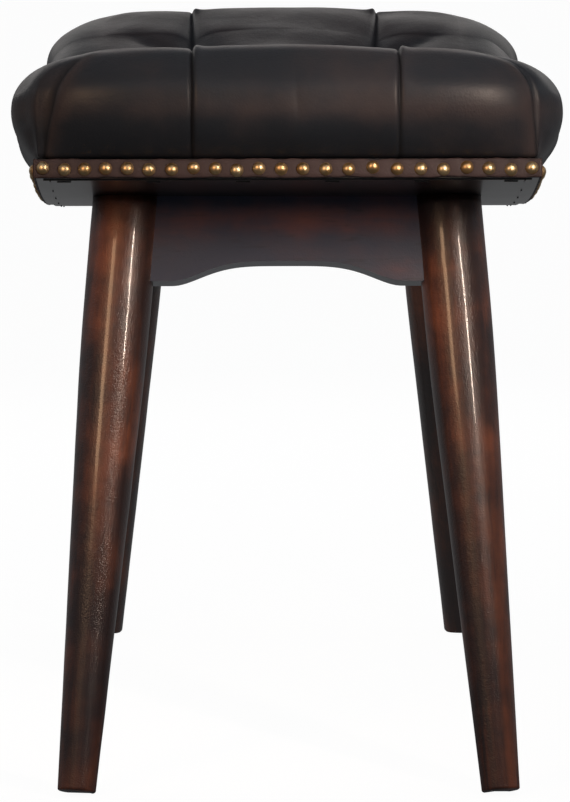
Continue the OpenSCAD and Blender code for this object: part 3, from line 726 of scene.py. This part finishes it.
    def corner_tuck(self, u, v, k):
        """Inward step of the tucked fold on both sides of each corner."""
        s, low = self.s, k / RINGS
        ramp = smooth((low - 0.10) / 0.20) * blend(1.0, 0.42, smooth((low - 0.50) / 0.30))
        au, av = np.abs(u), np.abs(v)
        on_end = au > END_ROW
        d_end, d_side = av - self.fold_row(u, v, low), au - blend(*SIDE_FOLD, low)
        d = np.where(on_end, d_end, d_side) * FOLD_UNIT
        beyond, before = np.exp(-np.maximum(d, 0) / TUCK_OUT), np.exp(np.minimum(d, 0) / TUCK_IN)
        step = np.where(d > 0, beyond, -TUCK_SWELL * before)
        near = (on_end & (av > 1.3)) | (~on_end & (au > 5.3) & (av > SIDE_ROW))
        return np.where(near, s.tuck * at_corner(TUCKED, u, v) * ramp * step, 0.0)

    def outward(self, u, v):
        """Level direction in which the roll stands out: it swings round over the corners."""
        s, x, y = self.s, self.along(u), v * self.pv
        turn = s.crest_r * s.turn_share
        ox, oy = past(x, s.crest_x - turn) * np.sign(x), past(y, s.crest_y - turn) * np.sign(y)
        size = np.hypot(ox, oy)
        return ox / size, oy / size

    def foot(self, u, v):
        """Where the rolled side meets the board."""
        x, y = np.minimum(np.abs(self.along(u)), self.inner), np.minimum(np.abs(v * self.pv), self.pv)
        x = np.sign(u) * blend(x, self.arc.top_x, past(u, LAST) / (EDGE - LAST))
        y = np.sign(v) * blend(y, self.f.board_y, past(v, 1)) + self.shifted(u, v)
        return x, y, self.arc.z(self.arc.top, x)

    def pleat_gap(self, u, v, on_end):
        """Distance round the rim from the nearest pleat."""
        gap = np.where(on_end, np.abs(np.abs(v) - 1) * self.pv, off_even(u) * self.pu)
        return np.where(~on_end & (np.abs(u) > LAST), (np.abs(u) - LAST) * self.pe, gap)

    def rings(self, u, v):
        """Rings of the rolled sides: out to the widest line, then in and down to the board."""
        s, arc = self.s, self.arc
        ridx = np.array(self.rim())
        ru, rim_v = u[ridx[:, 0], ridx[:, 1]], v[ridx[:, 0], ridx[:, 1]]
        on_end = np.abs(ru) > END_ROW
        half = RINGS // 2
        out, gaps, folds = [], [], []
        for k in range(1, RINGS + 1):
            rv = self.slid(ru, rim_v, k)
            rx, ry, rz, _ = self.surface(ru, rv)
            ox, oy = self.outward(ru, rv)
            wide_z = arc.z(arc.top, rx) + self.crown(rx) * s.wide_share
            gap = self.pleat_gap(ru, rv, on_end)
            if k > half:
                t = (k - half) / half
                foot_x, foot_y, foot_z = self.foot(ru, rv)
                px, py = blend(rx + ox * s.roll, foot_x, t ** 2), blend(ry + oy * s.roll, foot_y, t ** 2)
                pz = blend(wide_z, foot_z, t)
                groove = s.pleat * blend(1.0, 0.55, t)
            else:
                t = k / half
                a = t * math.pi / 2
                sxy, sz = math.sin(a) ** s.shoulder, 1 - max(math.cos(a), 0) ** s.shoulder
                px, py, pz = rx + ox * s.roll * sxy, ry + oy * s.roll * sxy, blend(rz, wide_z, sz)
                groove = s.pleat * smooth(t * 1.6)
            inward = groove * (1 - rise(gap / s.pleat_r)) + self.corner_tuck(ru, rv, k)
            belly = math.sin(math.pi * k / (RINGS + 1))
            puff = ROLL_PUFF * belly * np.cos(math.pi * rv) ** 2
            wave = SKIN_SIDE * ripple(11, px * 30, py * 30, pz * 55) * belly
            inward = inward - np.where(on_end & (np.abs(rv) < 1), puff, 0) - wave
            out.append(np.stack([px - ox * inward, py - oy * inward, pz], axis=1))
            gaps.append(gap)
            folds.append(np.where(on_end, (np.abs(rv) - self.fold_row(ru, rv, k / RINGS)) * self.pv, 1.0))
        return ridx, out, gaps, folds

    def build(self):
        """Verts and faces, and for each point its painted shade in the creases, its wear and painted sheen,
        and how firmly it is held.
        """
        u, v, x, y, z, share_in = self.top()
        nu, nv = u.shape[0] - 1, u.shape[1] - 1
        grid = np.stack([x.ravel(), y.ravel(), z.ravel()], axis=1)
        ridx, rings, gaps, folds = self.rings(u, v)
        count = len(ridx)
        inner = rings[-1] * [0.965, 0.93, 1.0]
        inner[:, 2] = self.arc.z(self.arc.top, inner[:, 0])
        verts = np.concatenate([grid, *rings, inner])

        def at(i, j):
            return i * (nv + 1) + j

        def ring_at(k, n):
            return at(*ridx[n % count]) if k == 0 else len(grid) + (k - 1) * count + n % count

        def inner_at(*places):
            return [ring_at(RINGS + 1, n) for n in places]

        def back(i):
            return 2 * nu + nv - i

        faces = [(at(i, j), at(i + 1, j), at(i + 1, j + 1), at(i, j + 1))
                 for i in range(nu) for j in range(nv)]
        faces += [(ring_at(k, n), ring_at(k + 1, n), ring_at(k + 1, n + 1), ring_at(k, n + 1))
                  for k in range(RINGS + 1) for n in range(count)]
        faces += [inner_at(i, back(i), back(i + 1), i + 1) for i in range(1, nu - 1)]
        faces.append(inner_at(1, 0, *range(count - 1, 2 * nu + nv - 1, -1), back(1)))
        faces.append(inner_at(back(nu - 1), *range(nu + nv, nu - 1, -1), nu - 1))
        # Painted shade: dark in the folds and button pockets of the top
        grid_crease_shade = np.clip(1 - share_in / 0.45, 0, 1) ** 1.5
        grid_crease_shade = np.where((np.abs(u) < 5.9) & (np.abs(v) < 1.9), grid_crease_shade, grid_crease_shade * 0.8).ravel()
        depth = np.arange(1, RINGS + 1)
        # Lighter on a band of wear and painted sheen round the roll, and just under the crest as a painted
        # highlight; the lower rings stay dark as painted shade where the roll turns under
        worn_and_lit_rows = 0.45 * np.exp(-((depth - WORN_LIT_RING) / WORN_LIT_SPREAD) ** 2) + 0.35 * smooth(1 - depth / 3)
        # Painted shade: a dark line along each pleat and just beyond each corner's fold
        ring_crease_shade = [np.clip(1 - gap / 0.0018, 0, 1) + 0.9 * np.exp(-((fold - 0.0008) / 0.0010) ** 2)
                       for gap, fold in zip(gaps, folds)]
        crease_shade = np.clip(np.concatenate([grid_crease_shade] + ring_crease_shade + [np.zeros(count)]), 0, 1)
        # Painted highlight: a light edge just before each corner's fold
        ring_wear_and_sheen = [np.clip(row + 0.8 * np.exp(-((fold + 0.0010) / 0.0012) ** 2), 0, 1)
                    for row, fold in zip(worn_and_lit_rows, folds)]
        # The top is lighter on the crowns of its puffs
        rub = np.concatenate([(share_in ** 2 * 0.6).ravel()] + ring_wear_and_sheen + [np.zeros(count)])
        ring_firm = [np.clip(np.maximum(1 - gap / HELD_PLEAT, 1 - np.abs(fold) / HELD_FOLD), 0, 1)
                     for gap, fold in zip(gaps[:-2], folds)]
        grid_firm = np.clip(1.25 - share_in * 1.6, 0, 1).ravel()
        firm = np.concatenate([grid_firm] + ring_firm + [np.ones(3 * count)])
        return verts, faces, crease_shade, rub, firm


def evened(move, mesh, passes):
    """Averages moves with their neighbours', to take out buckles narrower than leather holds."""
    ends = np.empty(len(mesh.edges) * 2, dtype=np.int64)
    mesh.edges.foreach_get("vertices", ends)
    first, second = ends.reshape(-1, 2).T
    count = np.bincount(ends, minlength=len(move))[:, None]
    for _ in range(passes):
        total = np.zeros_like(move)
        np.add.at(total, first, move[second])
        np.add.at(total, second, move[first])
        move = blend(move, total / count, 0.5)
    return move


def inflate(piece, firm, settings):
    """Swells the cushion with a cloth simulation and keeps its result, capped."""
    scene = bpy.context.scene
    start = np.empty(len(piece.data.vertices) * 3)
    piece.data.vertices.foreach_get("co", start)
    start = start.reshape(-1, 3)
    pins = piece.vertex_groups.new(name="pins")
    for index, weight in enumerate(firm):
        if weight > 0.01:
            pins.add([index], float(weight), "REPLACE")
    cloth = piece.modifiers.new("Swell", "CLOTH")
    for key, value in (("quality", 4), ("mass", 0.4), ("tension_stiffness", 25),
                       ("compression_stiffness", 25), ("shear_stiffness", 10), ("bending_stiffness", 2.0),
                       ("use_pressure", True), ("uniform_pressure_force", settings.pressure),
                       ("shrink_min", -0.015), ("vertex_group_mass", "pins")):
        setattr(cloth.settings, key, value)
    cloth.settings.effector_weights.gravity = 0.0
    cloth.collision_settings.use_collision = False
    cloth.point_cache.frame_start = 1
    cloth.point_cache.frame_end = settings.steps
    for step in range(1, settings.steps + 1):
        scene.frame_set(step)
    seen = piece.evaluated_get(bpy.context.evaluated_depsgraph_get())
    swollen = seen.to_mesh()
    end = np.empty(len(swollen.vertices) * 3)
    swollen.vertices.foreach_get("co", end)
    seen.to_mesh_clear()
    move = evened(end.reshape(-1, 3) - start, piece.data, EVEN_PASSES)
    reach = np.linalg.norm(move, axis=1, keepdims=True)
    move *= settings.swell * np.tanh(reach / settings.swell) / np.maximum(reach, 1e-9)
    piece.modifiers.remove(cloth)
    piece.vertex_groups.remove(pins)
    piece.data.vertices.foreach_set("co", (start + move).ravel())
    piece.data.update()
    scene.frame_set(1)


class BENCH_OT_cushion(bpy.types.Operator):
    """Builds the tufted leather cushion and swells it by cloth simulation"""
    bl_idname = "bench.cushion"
    bl_label = "Leather cushion"

    def execute(self, context):
        settings = context.scene.bench_seat
        verts, faces, crease_shade, rub, firm = Cushion().build()
        piece = mesh_piece("leather_cushion_skin", verts, faces, "seat_leather",
                           "leather_cushion")
        inflate(piece, firm, settings)
        carry(piece, "crease_shade", crease_shade)
        carry(piece, "rub", rub)
        finer = piece.modifiers.new("Finer", "SUBSURF")
        finer.levels = finer.render_levels = 1
        return {"FINISHED"}


class BENCH_OT_buttons(bpy.types.Operator):
    """Builds the leather covered buttons in their pockets"""
    bl_idname = "bench.buttons"
    bl_label = "Covered buttons"

    def execute(self, context):
        s = context.scene.bench_seat
        shape = Cushion()
        r, h = s.button_d / 2, s.button_h
        profile = [(r * 0.02, h)] + [(r * math.sin(a), h * 0.35 + h * 0.65 * math.cos(a))
                                     for a in np.linspace(0.15, math.pi / 2, 8)]
        profile += [(r * 0.99, h * 0.18), (r * 0.93, h * 0.03), (r * 0.80, 0.0)]
        verts, faces = lathe(profile, 32)
        all_verts, all_faces, rub = [], [], []
        for n, (u, v) in enumerate(buttons()):
            x, y = float(shape.along(u)), v * shape.pv
            base = float(shape.arc.z(shape.arc.top, x) + shape.crown(x) - s.tuft)
            base -= float(s.side_fall * (abs(y) / s.crest_y) ** 5)
            turn = 0.05 * math.sin(n * 2.4)
            moved = verts.copy()
            moved[:, 2] += moved[:, 0] * turn + 0.0002 * np.sin(5 * np.arctan2(moved[:, 1], moved[:, 0]) + n)
            add_copy(all_verts, all_faces, moved + [x, y, base + 0.0004], faces)
            # Lighter toward the top of each button
            rub += list(verts[:, 2] / h)
        piece = mesh_piece("tuft_buttons_covered", all_verts, all_faces, "button_leather",
                           "tuft_buttons")
        carry(piece, "rub", rub)
        # Painted shade: darker round the base of each button, where it sits in its pocket
        carry(piece, "crease_shade", np.clip(0.35 - np.array(rub), 0, 1))
        return {"FINISHED"}


# Bands and nails

# Hand-set nails wander along the end rows; harmonics fitted to the near row
WANDER = (-0.0040, -0.0016, 0.0008, -0.0010)
# Length of a band between two of its cross-sections
BAND_STEP = 0.0018
# Reach of the pinch that a nail makes in its band
PINCH = 0.0045
# A band's cross-section, up and out, from the inner low edge round the face to the inner high edge
SECTION = ((-0.97, 0.00), (-1.00, 0.45), (-0.96, 0.80), (-0.84, 1.00), (-0.45, 1.10), (0.0, 1.14),
           (0.45, 1.10), (0.84, 1.00), (0.96, 0.80), (1.00, 0.45), (0.97, 0.00))


def end_places(settings, end):
    """Distances of an end's nails from the middle, with the wander of handwork."""
    span = 2 * (settings.board_y + settings.band_t - settings.nail_inset)
    count = round(span / settings.nail_pitch) + 1
    t = np.linspace(0, 1, count)
    drift = sum(a * np.sin(math.pi * (n + 1) * t) for n, a in enumerate(WANDER))
    return (t - 0.5) * span + drift * (1 if end > 0 else -1)


def side_places(settings, arc, side):
    """Arc lengths of a side's nails from mid length."""
    span = 2 * (arc.angle - settings.nail_inset / arc.mid)
    count = round(span * arc.mid / settings.nail_pitch) + 1
    t = np.linspace(0, 1, count)
    drift = 0.0012 * ripple(40 + side, t * 30) * np.sin(math.pi * t)
    return (t - 0.5) * span * arc.mid + drift


def end_point(arc, end):
    """Maps along, up and out to the face of an end."""
    def to_world(along, up, out):
        r = arc.mid - up
        x = out * math.cos(arc.angle) + r * math.sin(arc.angle)
        z = arc.axis_z + out * math.sin(arc.angle) - r * math.cos(arc.angle)
        return np.stack([end * x, along, z], axis=-1)
    return to_world


def side_point(arc, settings, side):
    """Maps along, up and out to the face of a side."""
    def to_world(along, up, out):
        r, a = arc.mid - up, along / arc.mid
        return np.stack([r * np.sin(a), side * (settings.board_y + out), arc.axis_z - r * np.cos(a)], axis=-1)
    return to_world


def nailed_rows(f, arc):
    """The four nailed sides: name, nails' places, map to the face, band's half length, seed and turn."""
    for end, word in ((-1, "left_end"), (1, "right_end")):
        yield word, end_places(f, end), end_point(arc, end), f.board_y + f.band_t, 60 + end, end < 0
    for side, word in ((-1, "front"), (1, "back")):
        yield (word, side_places(f, arc, side), side_point(arc, f, side), arc.angle * arc.mid, 80 + side,
               side > 0)


def band_piece(word, places, to_world, half, seed, flip):
    """A nailed strip of leather with wavy edges, drawn in at each nail."""
    f = bpy.context.scene.bench_frame
    count = int(half * 2 / BAND_STEP)
    along = np.linspace(-half, half, count + 1)
    gap = np.min(np.abs(along[:, None] - places[None, :]), axis=1)
    pinch = np.exp(-(gap / PINCH) ** 2)
    h, t = f.board_t / 2, f.band_t
    top = 0.0007 * ripple(seed, along * 110) - 0.0004 * pinch
    low = 0.0006 * ripple(seed + 1, along * 120) + 0.0004 * pinch
    face = 0.00022 * ripple(seed + 2, along * 150)
    points, rub = [], []
    for up, out in SECTION:
        edge = np.where(up > 0, top * up, low * -up)
        press = (1 - abs(up)) * 0.00075 * pinch
        points.append(to_world(along, up * h + edge, out * t + (face - press) * (out > 0.9)))
        # Lighter toward the band's edges through wear, and darker near each nail as painted shade
        rub.append(0.9 * np.clip(abs(up) * 1.6 - 0.6, 0, 1) + 0.25 * (1 - pinch))
    verts = np.stack(points, axis=1).reshape(-1, 3)
    faces = tube(count + 1, len(SECTION), FORWARD if flip else BACKWARD)
    piece = mesh_piece(word + "_band_strip", verts, faces, "band_leather", word + "_band")
    carry(piece, "rub", np.stack(rub, axis=1))
    # Painted shade: darker where each nail pinches the band
    carry(piece, "crease_shade", np.repeat(pinch * 0.5, len(SECTION)))


class BENCH_OT_bands(bpy.types.Operator):
    """Builds the four leather bands round the board"""
    bl_idname = "bench.bands"
    bl_label = "Leather bands"

    def execute(self, context):
        for row in nailed_rows(context.scene.bench_frame, Arc()):
            band_piece(*row)
        return {"FINISHED"}


class BENCH_OT_nails(bpy.types.Operator):
    """Builds the antique brass nails, each set a little differently by hand"""
    bl_idname = "bench.nails"
    bl_label = "Dome headed nails"

    def execute(self, context):
        f = context.scene.bench_frame
        r, h = f.nail_d / 2, f.nail_h
        ball = (h * h + r * r) / (2 * h)
        reach = math.asin(min(r / ball, 1.0))
        profile = [(ball * math.sin(a), h - ball + ball * math.cos(a)) for a in np.linspace(0.06, reach, 9)]
        profile += [(r, -0.0002), (r * 0.86, -0.0004)]
        dome, faces = lathe(profile, 28)
        rim = np.clip(np.hypot(dome[:, 0], dome[:, 1]) / r, 0, 1) ** 3
        for seed, (word, places, to_world, *_) in enumerate(nailed_rows(f, Arc()), 1):
            rng = np.random.default_rng(seed)
            verts, all_faces, rims = [], [], []
            for place in places:
                lean = rng.normal(0, 0.055, 2)
                size = 1 + rng.normal(0, 0.018)
                shift = np.clip(rng.normal(0, 0.0006, 2), -0.001, 0.001)
                local = dome * size
                along, up = place + shift[0] * 0.5 + local[:, 0], shift[1] - f.nail_low + local[:, 1]
                out = local[:, 2] + local[:, 0] * lean[0] + local[:, 1] * lean[1] + f.band_t * 1.02
                add_copy(verts, all_faces, to_world(along, up, out), faces)
                rims += list(np.clip(rim * (1 + rng.normal(0, 0.12)) + rng.uniform(-0.05, 0.16), 0, 1.2))
            piece = mesh_piece(word + "_nail_heads", verts, all_faces, "antique_brass",
                               word + "_nails")
            carry(piece, "rim", rims)
            normals_outward(piece)
        return {"FINISHED"}


# Legs

# Small knocks in the legs: leg, height, turn about the axis in degrees, depth, radius
KNOCKS = (("front_right", 0.372, -20, 0.00020, 0.0035), ("front_right", 0.352, -6, 0.00015, 0.0040),
          ("back_right", 0.385, -12, 0.00020, 0.0035), ("front_right", 0.165, 24, 0.00025, 0.0040),
          ("back_right", 0.210, 15, 0.00025, 0.0040), ("front_left", 0.240, 160, 0.00030, 0.0045),
          ("back_left", 0.300, 200, 0.00030, 0.0050))
# The rounded rim of a foot: distance along the leg, and how far the surface is drawn in there
FOOT_RIM = ((0.0, 0.0010), (0.0004, 0.0004), (0.0010, 0.0), (0.0018, 0.0))
# Points round a leg, and the distance along it between two of its rows
LEG_SEGMENTS = 72
LEG_STEP = 0.003


class Leg:
    """A turned leg: straight taper, rounded into a parallel top."""

    def __init__(self, corner):
        self.f = f = bpy.context.scene.bench_frame
        self.corner, (self.sx, self.sy) = corner, CORNERS[corner]
        self.arc = Arc()
        lean = np.array([-math.tan(f.splay_len), -math.tan(f.splay_dep), 1.0])
        stretch = float(np.linalg.norm(lean))
        tilt = math.acos(1 / stretch)
        foot_z = f.foot_d / 2 * math.sin(tilt) - f.foot_flat
        self.foot = np.array([f.foot_x, f.foot_y, foot_z])
        self.axis = lean / stretch
        at_seat = f.foot_x + lean[0] * (f.seat_low - foot_z)
        corner_z = float(self.arc.z(self.arc.under, at_seat)) - f.rail_h
        self.taper = (corner_z - f.top_drop - foot_z) * stretch
        e1 = np.array([1.0, 0.0, 0.0]) - self.axis * self.axis[0]
        self.e1 = e1 / np.linalg.norm(e1)
        self.e2 = np.cross(self.axis, self.e1)

    def radius(self, along):
        """Radius of the leg at a distance along its axis."""
        f, t = self.f, np.clip(along / self.taper, 0, 1)
        gain = 2 / (1 + f.taper_share)
        rounded = 1 - gain * (1 - t) ** 2 / (2 * (1 - f.taper_share))
        return blend(f.foot_d, f.leg_d, np.where(t < f.taper_share, gain * t, rounded)) / 2

    def top_at(self, way):
        """Distance along the axis at which a line of the leg meets the seat's underside."""
        low, high = self.taper, self.taper + 0.2
        start = self.foot + way * self.f.leg_d / 2
        for _ in range(40):
            mid = (low + high) / 2
            point = start + self.axis * mid
            if point[2] < float(self.arc.z(self.arc.under, point[0])):
                low = mid
            else:
                high = mid
        return low

    def knocked(self, point, way, turn, r):
        """A point of the surface, pressed in by the knocks near it."""
        for corner, height, knock_turn, depth, size in KNOCKS:
            if corner == self.corner and abs(point[2] - height) < 3 * size:
                gap = abs((turn - math.radians(knock_turn) + math.pi) % (2 * math.pi) - math.pi) * r
                point = point - way * depth * math.exp(-(gap ** 2 + (point[2] - height) ** 2) / size ** 2)
        return point

    def build(self, seed):
        """Verts and faces, and for each point its place in the grain."""
        turns = np.linspace(0, 2 * math.pi, LEG_SEGMENTS, endpoint=False)
        ways = [math.cos(a) * self.e1 + math.sin(a) * self.e2 for a in turns]
        tops = np.array([self.top_at(w) for w in ways])
        rows = [along for along, _ in FOOT_RIM] + list(np.arange(0.004, tops.min() - 0.002, LEG_STEP))
        verts, grain = [], []
        for k in range(len(rows) + 1):
            for n, way in enumerate(ways):
                s = rows[k] if k < len(rows) else tops[n]
                r = float(self.radius(s))
                if k < len(FOOT_RIM):
                    r -= FOOT_RIM[k][1]
                a = turns[n]
                if 3 <= k < len(rows):
                    r += 0.00012 * float(ripple(seed, math.cos(a) * 1.5, math.sin(a) * 1.5, s * 35))
                point = self.knocked(self.foot + self.axis * s + way * r, way, a, r)
                point[2] = max(point[2], 0.0)
                verts.append(point * [self.sx, self.sy, 1])
                grain.append((0.02 * math.cos(a) + seed, 0.02 * math.sin(a), s * 0.10))
        return verts, tube(len(rows) + 1, LEG_SEGMENTS, FORWARD), grain


class BENCH_OT_legs(bpy.types.Operator):
    """Builds the four turned legs with their knocks and drawn-out grain"""
    bl_idname = "bench.legs"
    bl_label = "Turned legs"

    def execute(self, context):
        for n, corner in enumerate(CORNERS):
            verts, faces, grain = Leg(corner).build(5 + n)
            piece = mesh_piece(corner + "_turned_leg", verts, faces, "leg_wood", corner + "_leg")
            carry_vector(piece, "grain", grain)
            normals_outward(piece)
        return {"FINISHED"}


class BENCH_OT_woodwork(bpy.types.Operator):
    """Stains the rails, the corner blocks and the board"""
    bl_idname = "bench.woodwork"
    bl_label = "Rails, blocks and board"

    def execute(self, context):
        edge = context.scene.bench_frame.rail_edge
        for node in ("left_end_rail", "right_end_rail", "front_rail", "back_rail"):
            holder = dress_node(node, "end_rail_wood" if "end" in node else "side_rail_wood")
            soft = holder.modifiers.new("Edge", "BEVEL")
            soft.width, soft.segments = edge, 2
            soft.limit_method, soft.angle_limit = "ANGLE", math.radians(50)
        for corner in CORNERS:
            dress_node(corner + "_block", "block_wood")
        dress_node("seat_board", "board_black")
        return {"FINISHED"}


class BENCH_OT_underside(bpy.types.Operator):
    """Finishes what lies under and inside the seat: cover, staples, screws, ties and foam"""
    bl_idname = "bench.underside"
    bl_label = "Underside and inside"

    def execute(self, context):
        for node, look in (("dust_cover", "under_lacquer"), ("cover_staples", "black_wire"),
                           ("block_screws", "zinc_steel"), ("seat_screws", "zinc_steel"),
                           ("button_ties", "waxed_twine"), ("foam_core", "core_foam")):
            dress_node(node, look)
        return {"FINISHED"}


# Stage

# Half width of the floor, and its height: just under the feet
FLOOR_REACH = 30.0
FLOOR_Z = -0.0003


def lamp(name, watts, tone, size, place, target, spread=math.pi):
    """A soft rectangular lamp that looks at a target."""
    light = bpy.data.lights.new(name, "AREA")
    light.energy, light.color, light.shape = watts, tone, "RECTANGLE"
    light.size, light.size_y, light.spread = size[0], size[1], spread
    holder = bpy.data.objects.new(name, light)
    bpy.context.scene.collection.objects.link(holder)
    holder.location = place
    way = [t - p for t, p in zip(target, place)]
    flat = math.hypot(way[0], way[1])
    holder.rotation_euler = Euler((math.atan2(flat, -way[2]), 0, math.atan2(way[1], way[0]) - math.pi / 2))
    holder.visible_camera = False


class BENCH_OT_stage(bpy.types.Operator):
    """Sets the floor, the room, the lamps and the camera"""
    bl_idname = "bench.stage"
    bl_label = "Stage"

    def execute(self, context):
        scene, s = context.scene, context.scene.bench_stage
        mesh = bpy.data.meshes.new("studio_floor")
        mesh.from_pydata([(x * FLOOR_REACH, y * FLOOR_REACH, FLOOR_Z) for x, y in
                          ((-1, -1), (1, -1), (1, 1), (-1, 1))], [], [(0, 1, 2, 3)])
        floor = bpy.data.objects.new("studio_floor", mesh)
        scene.collection.objects.link(floor)
        f = Finish("studio_floor")
        paths = f.node("LightPath").socket.node.outputs
        seen, mirrored, through = (Value(f, paths[f"Is {kind} Ray"]) for kind in
                                   ("Camera", "Glossy", "Transmission"))
        behind = f.node("SeparateXYZ", None, {"Vector": f.node("NewGeometry")}).ramp(0.25, -0.25)
        mottle = f.noise(f.place(), 2.0)
        paint = f.mix(s.floor, toned(s.floor, 0.97), mottle)
        matt = f.node("BsdfDiffuse", None, {"Color": paint})
        faint = f.node("BsdfDiffuse", None, {"Color": (0.10, 0.10, 0.10)})
        glow = f.node("Emission", None, {"Color": (1.0, 1.0, 1.0), "Strength": 0.96})
        lit = f.node("AddShader", None, {0: faint, 1: glow})
        # Painted reflection: glossy rays see the floor glow, pale behind the bench and nearly black in front
        # of it
        white = f.node("Emission", None, {"Color": (0.97, 0.98, 1.0), "Strength": s.mirrored})
        dim = f.node("Emission", None, {"Color": (0.050, 0.055, 0.060), "Strength": 1.0})
        bounce = f.node("MixShader", None, {0: behind, 1: dim, 2: white})
        shown = f.node("MixShader", None, {0: mirrored, 1: matt, 2: bounce})
        shown = f.node("MixShader", None, {0: through, 1: shown, 2: white})
        shown = f.node("MixShader", None, {0: seen, 1: shown, 2: lit})
        f.node("OutputMaterial", None, {"Surface": shown})
        floor.data.materials.append(f.material)

        world = bpy.data.worlds.new("studio_room")
        world.use_nodes = True
        scene.world = world
        nodes, join = world.node_tree.nodes, world.node_tree.links.new
        nodes.clear()
        room, bright, path, pick, out = (nodes.new("ShaderNode" + kind) for kind in (
            "Background", "Background", "LightPath", "MixShader", "OutputWorld"))
        room.inputs["Color"].default_value = (*s.room, 1.0)
        bright.inputs["Color"].default_value = (1.0, 1.0, 1.0, 1.0)
        join(path.outputs["Is Camera Ray"], pick.inputs[0])
        join(room.outputs[0], pick.inputs[1])
        join(bright.outputs[0], pick.inputs[2])
        join(pick.outputs[0], out.inputs[0])

        knee, narrow = (0.38, 0.0, 0.40), math.radians(50)
        lamp("front_softbox", s.front_light, (0.66, 0.80, 1.0), (2.2, 0.5), (2.2, 0.0, 2.2), (0.4, 0.0, 0.5))
        lamp("back_softbox", s.back_light, (1.0, 0.95, 0.91), (3.6, 0.6), (-2.5, 0.0, 1.20), (0.0, 0.0, 0.5))
        lamp("top_softbox", s.top_light, (0.95, 0.97, 1.0), (2.0, 1.6), (0.3, 0.0, 2.4), (0.3, 0.0, 0.5))
        for name, across in (("left_softbox", -3.0), ("right_softbox", 3.0)):
            lamp(name, s.side_light, (0.96, 0.97, 1.0), (1.8, 0.9), (-0.8, across, 1.7), (-0.3, 0.0, 0.4))
        lamp("pale_strip", s.pale_light, (1.0, 0.80, 0.66), (0.024, 0.34), (1.0, 0.45, 0.74), knee, narrow)
        lamp("warm_strip", s.warm_light, (1.0, 0.62, 0.36), (0.26, 0.42), (1.35, -0.62, 0.86), knee, narrow)

        camera = bpy.data.objects.new("photo_camera", bpy.data.cameras.new("photo_camera"))
        scene.collection.objects.link(camera)
        camera.data.sensor_fit, camera.data.sensor_height, camera.data.lens = "VERTICAL", 36.0, s.lens
        camera.data.clip_start, camera.data.clip_end = 0.05, 200.0
        camera.location = (s.camera_x, s.camera_y, s.camera_z)
        camera.rotation_mode = "XYZ"
        camera.rotation_euler = Euler((math.pi / 2 - s.pitch, 0, math.pi / 2 - s.yaw), "XYZ")
        camera.rotation_euler.rotate_axis("Z", -s.roll)
        scene.camera = camera
        scene.view_settings.view_transform = "Standard"
        return {"FINISHED"}


class BENCH_PT_panel(bpy.types.Panel):
    """Lists the steps that dress the bench"""
    bl_idname = "BENCH_PT_panel"
    bl_label = "Bench"
    bl_space_type = "VIEW_3D"
    bl_region_type = "UI"
    bl_category = "Bench"

    def draw(self, context):
        for step in STEPS:
            self.layout.operator(step.bl_idname)
        for group in GROUPS:
            box = self.layout.box()
            values = getattr(context.scene, group)
            for name in values.__annotations__:
                box.prop(values, name)


STEPS = (BENCH_OT_stage, BENCH_OT_cushion, BENCH_OT_buttons, BENCH_OT_bands, BENCH_OT_nails, BENCH_OT_legs,
         BENCH_OT_woodwork, BENCH_OT_underside)
GROUPS = {"bench_seat": BenchSeat, "bench_frame": BenchFrame, "bench_finish": BenchFinish,
          "bench_stage": BenchStage}


def register():
    for item in (*GROUPS.values(), *STEPS, BENCH_PT_panel):
        bpy.utils.register_class(item)
    for name, group in GROUPS.items():
        setattr(bpy.types.Scene, name, PointerProperty(type=group))


def unregister():
    for name in GROUPS:
        delattr(bpy.types.Scene, name)
    for item in (BENCH_PT_panel, *reversed(STEPS), *GROUPS.values()):
        bpy.utils.unregister_class(item)


def main():
    register()
    for step in STEPS:
        group, name = step.bl_idname.split(".")
        getattr(getattr(bpy.ops, group), name)()


if __name__ == "__main__":
    main()
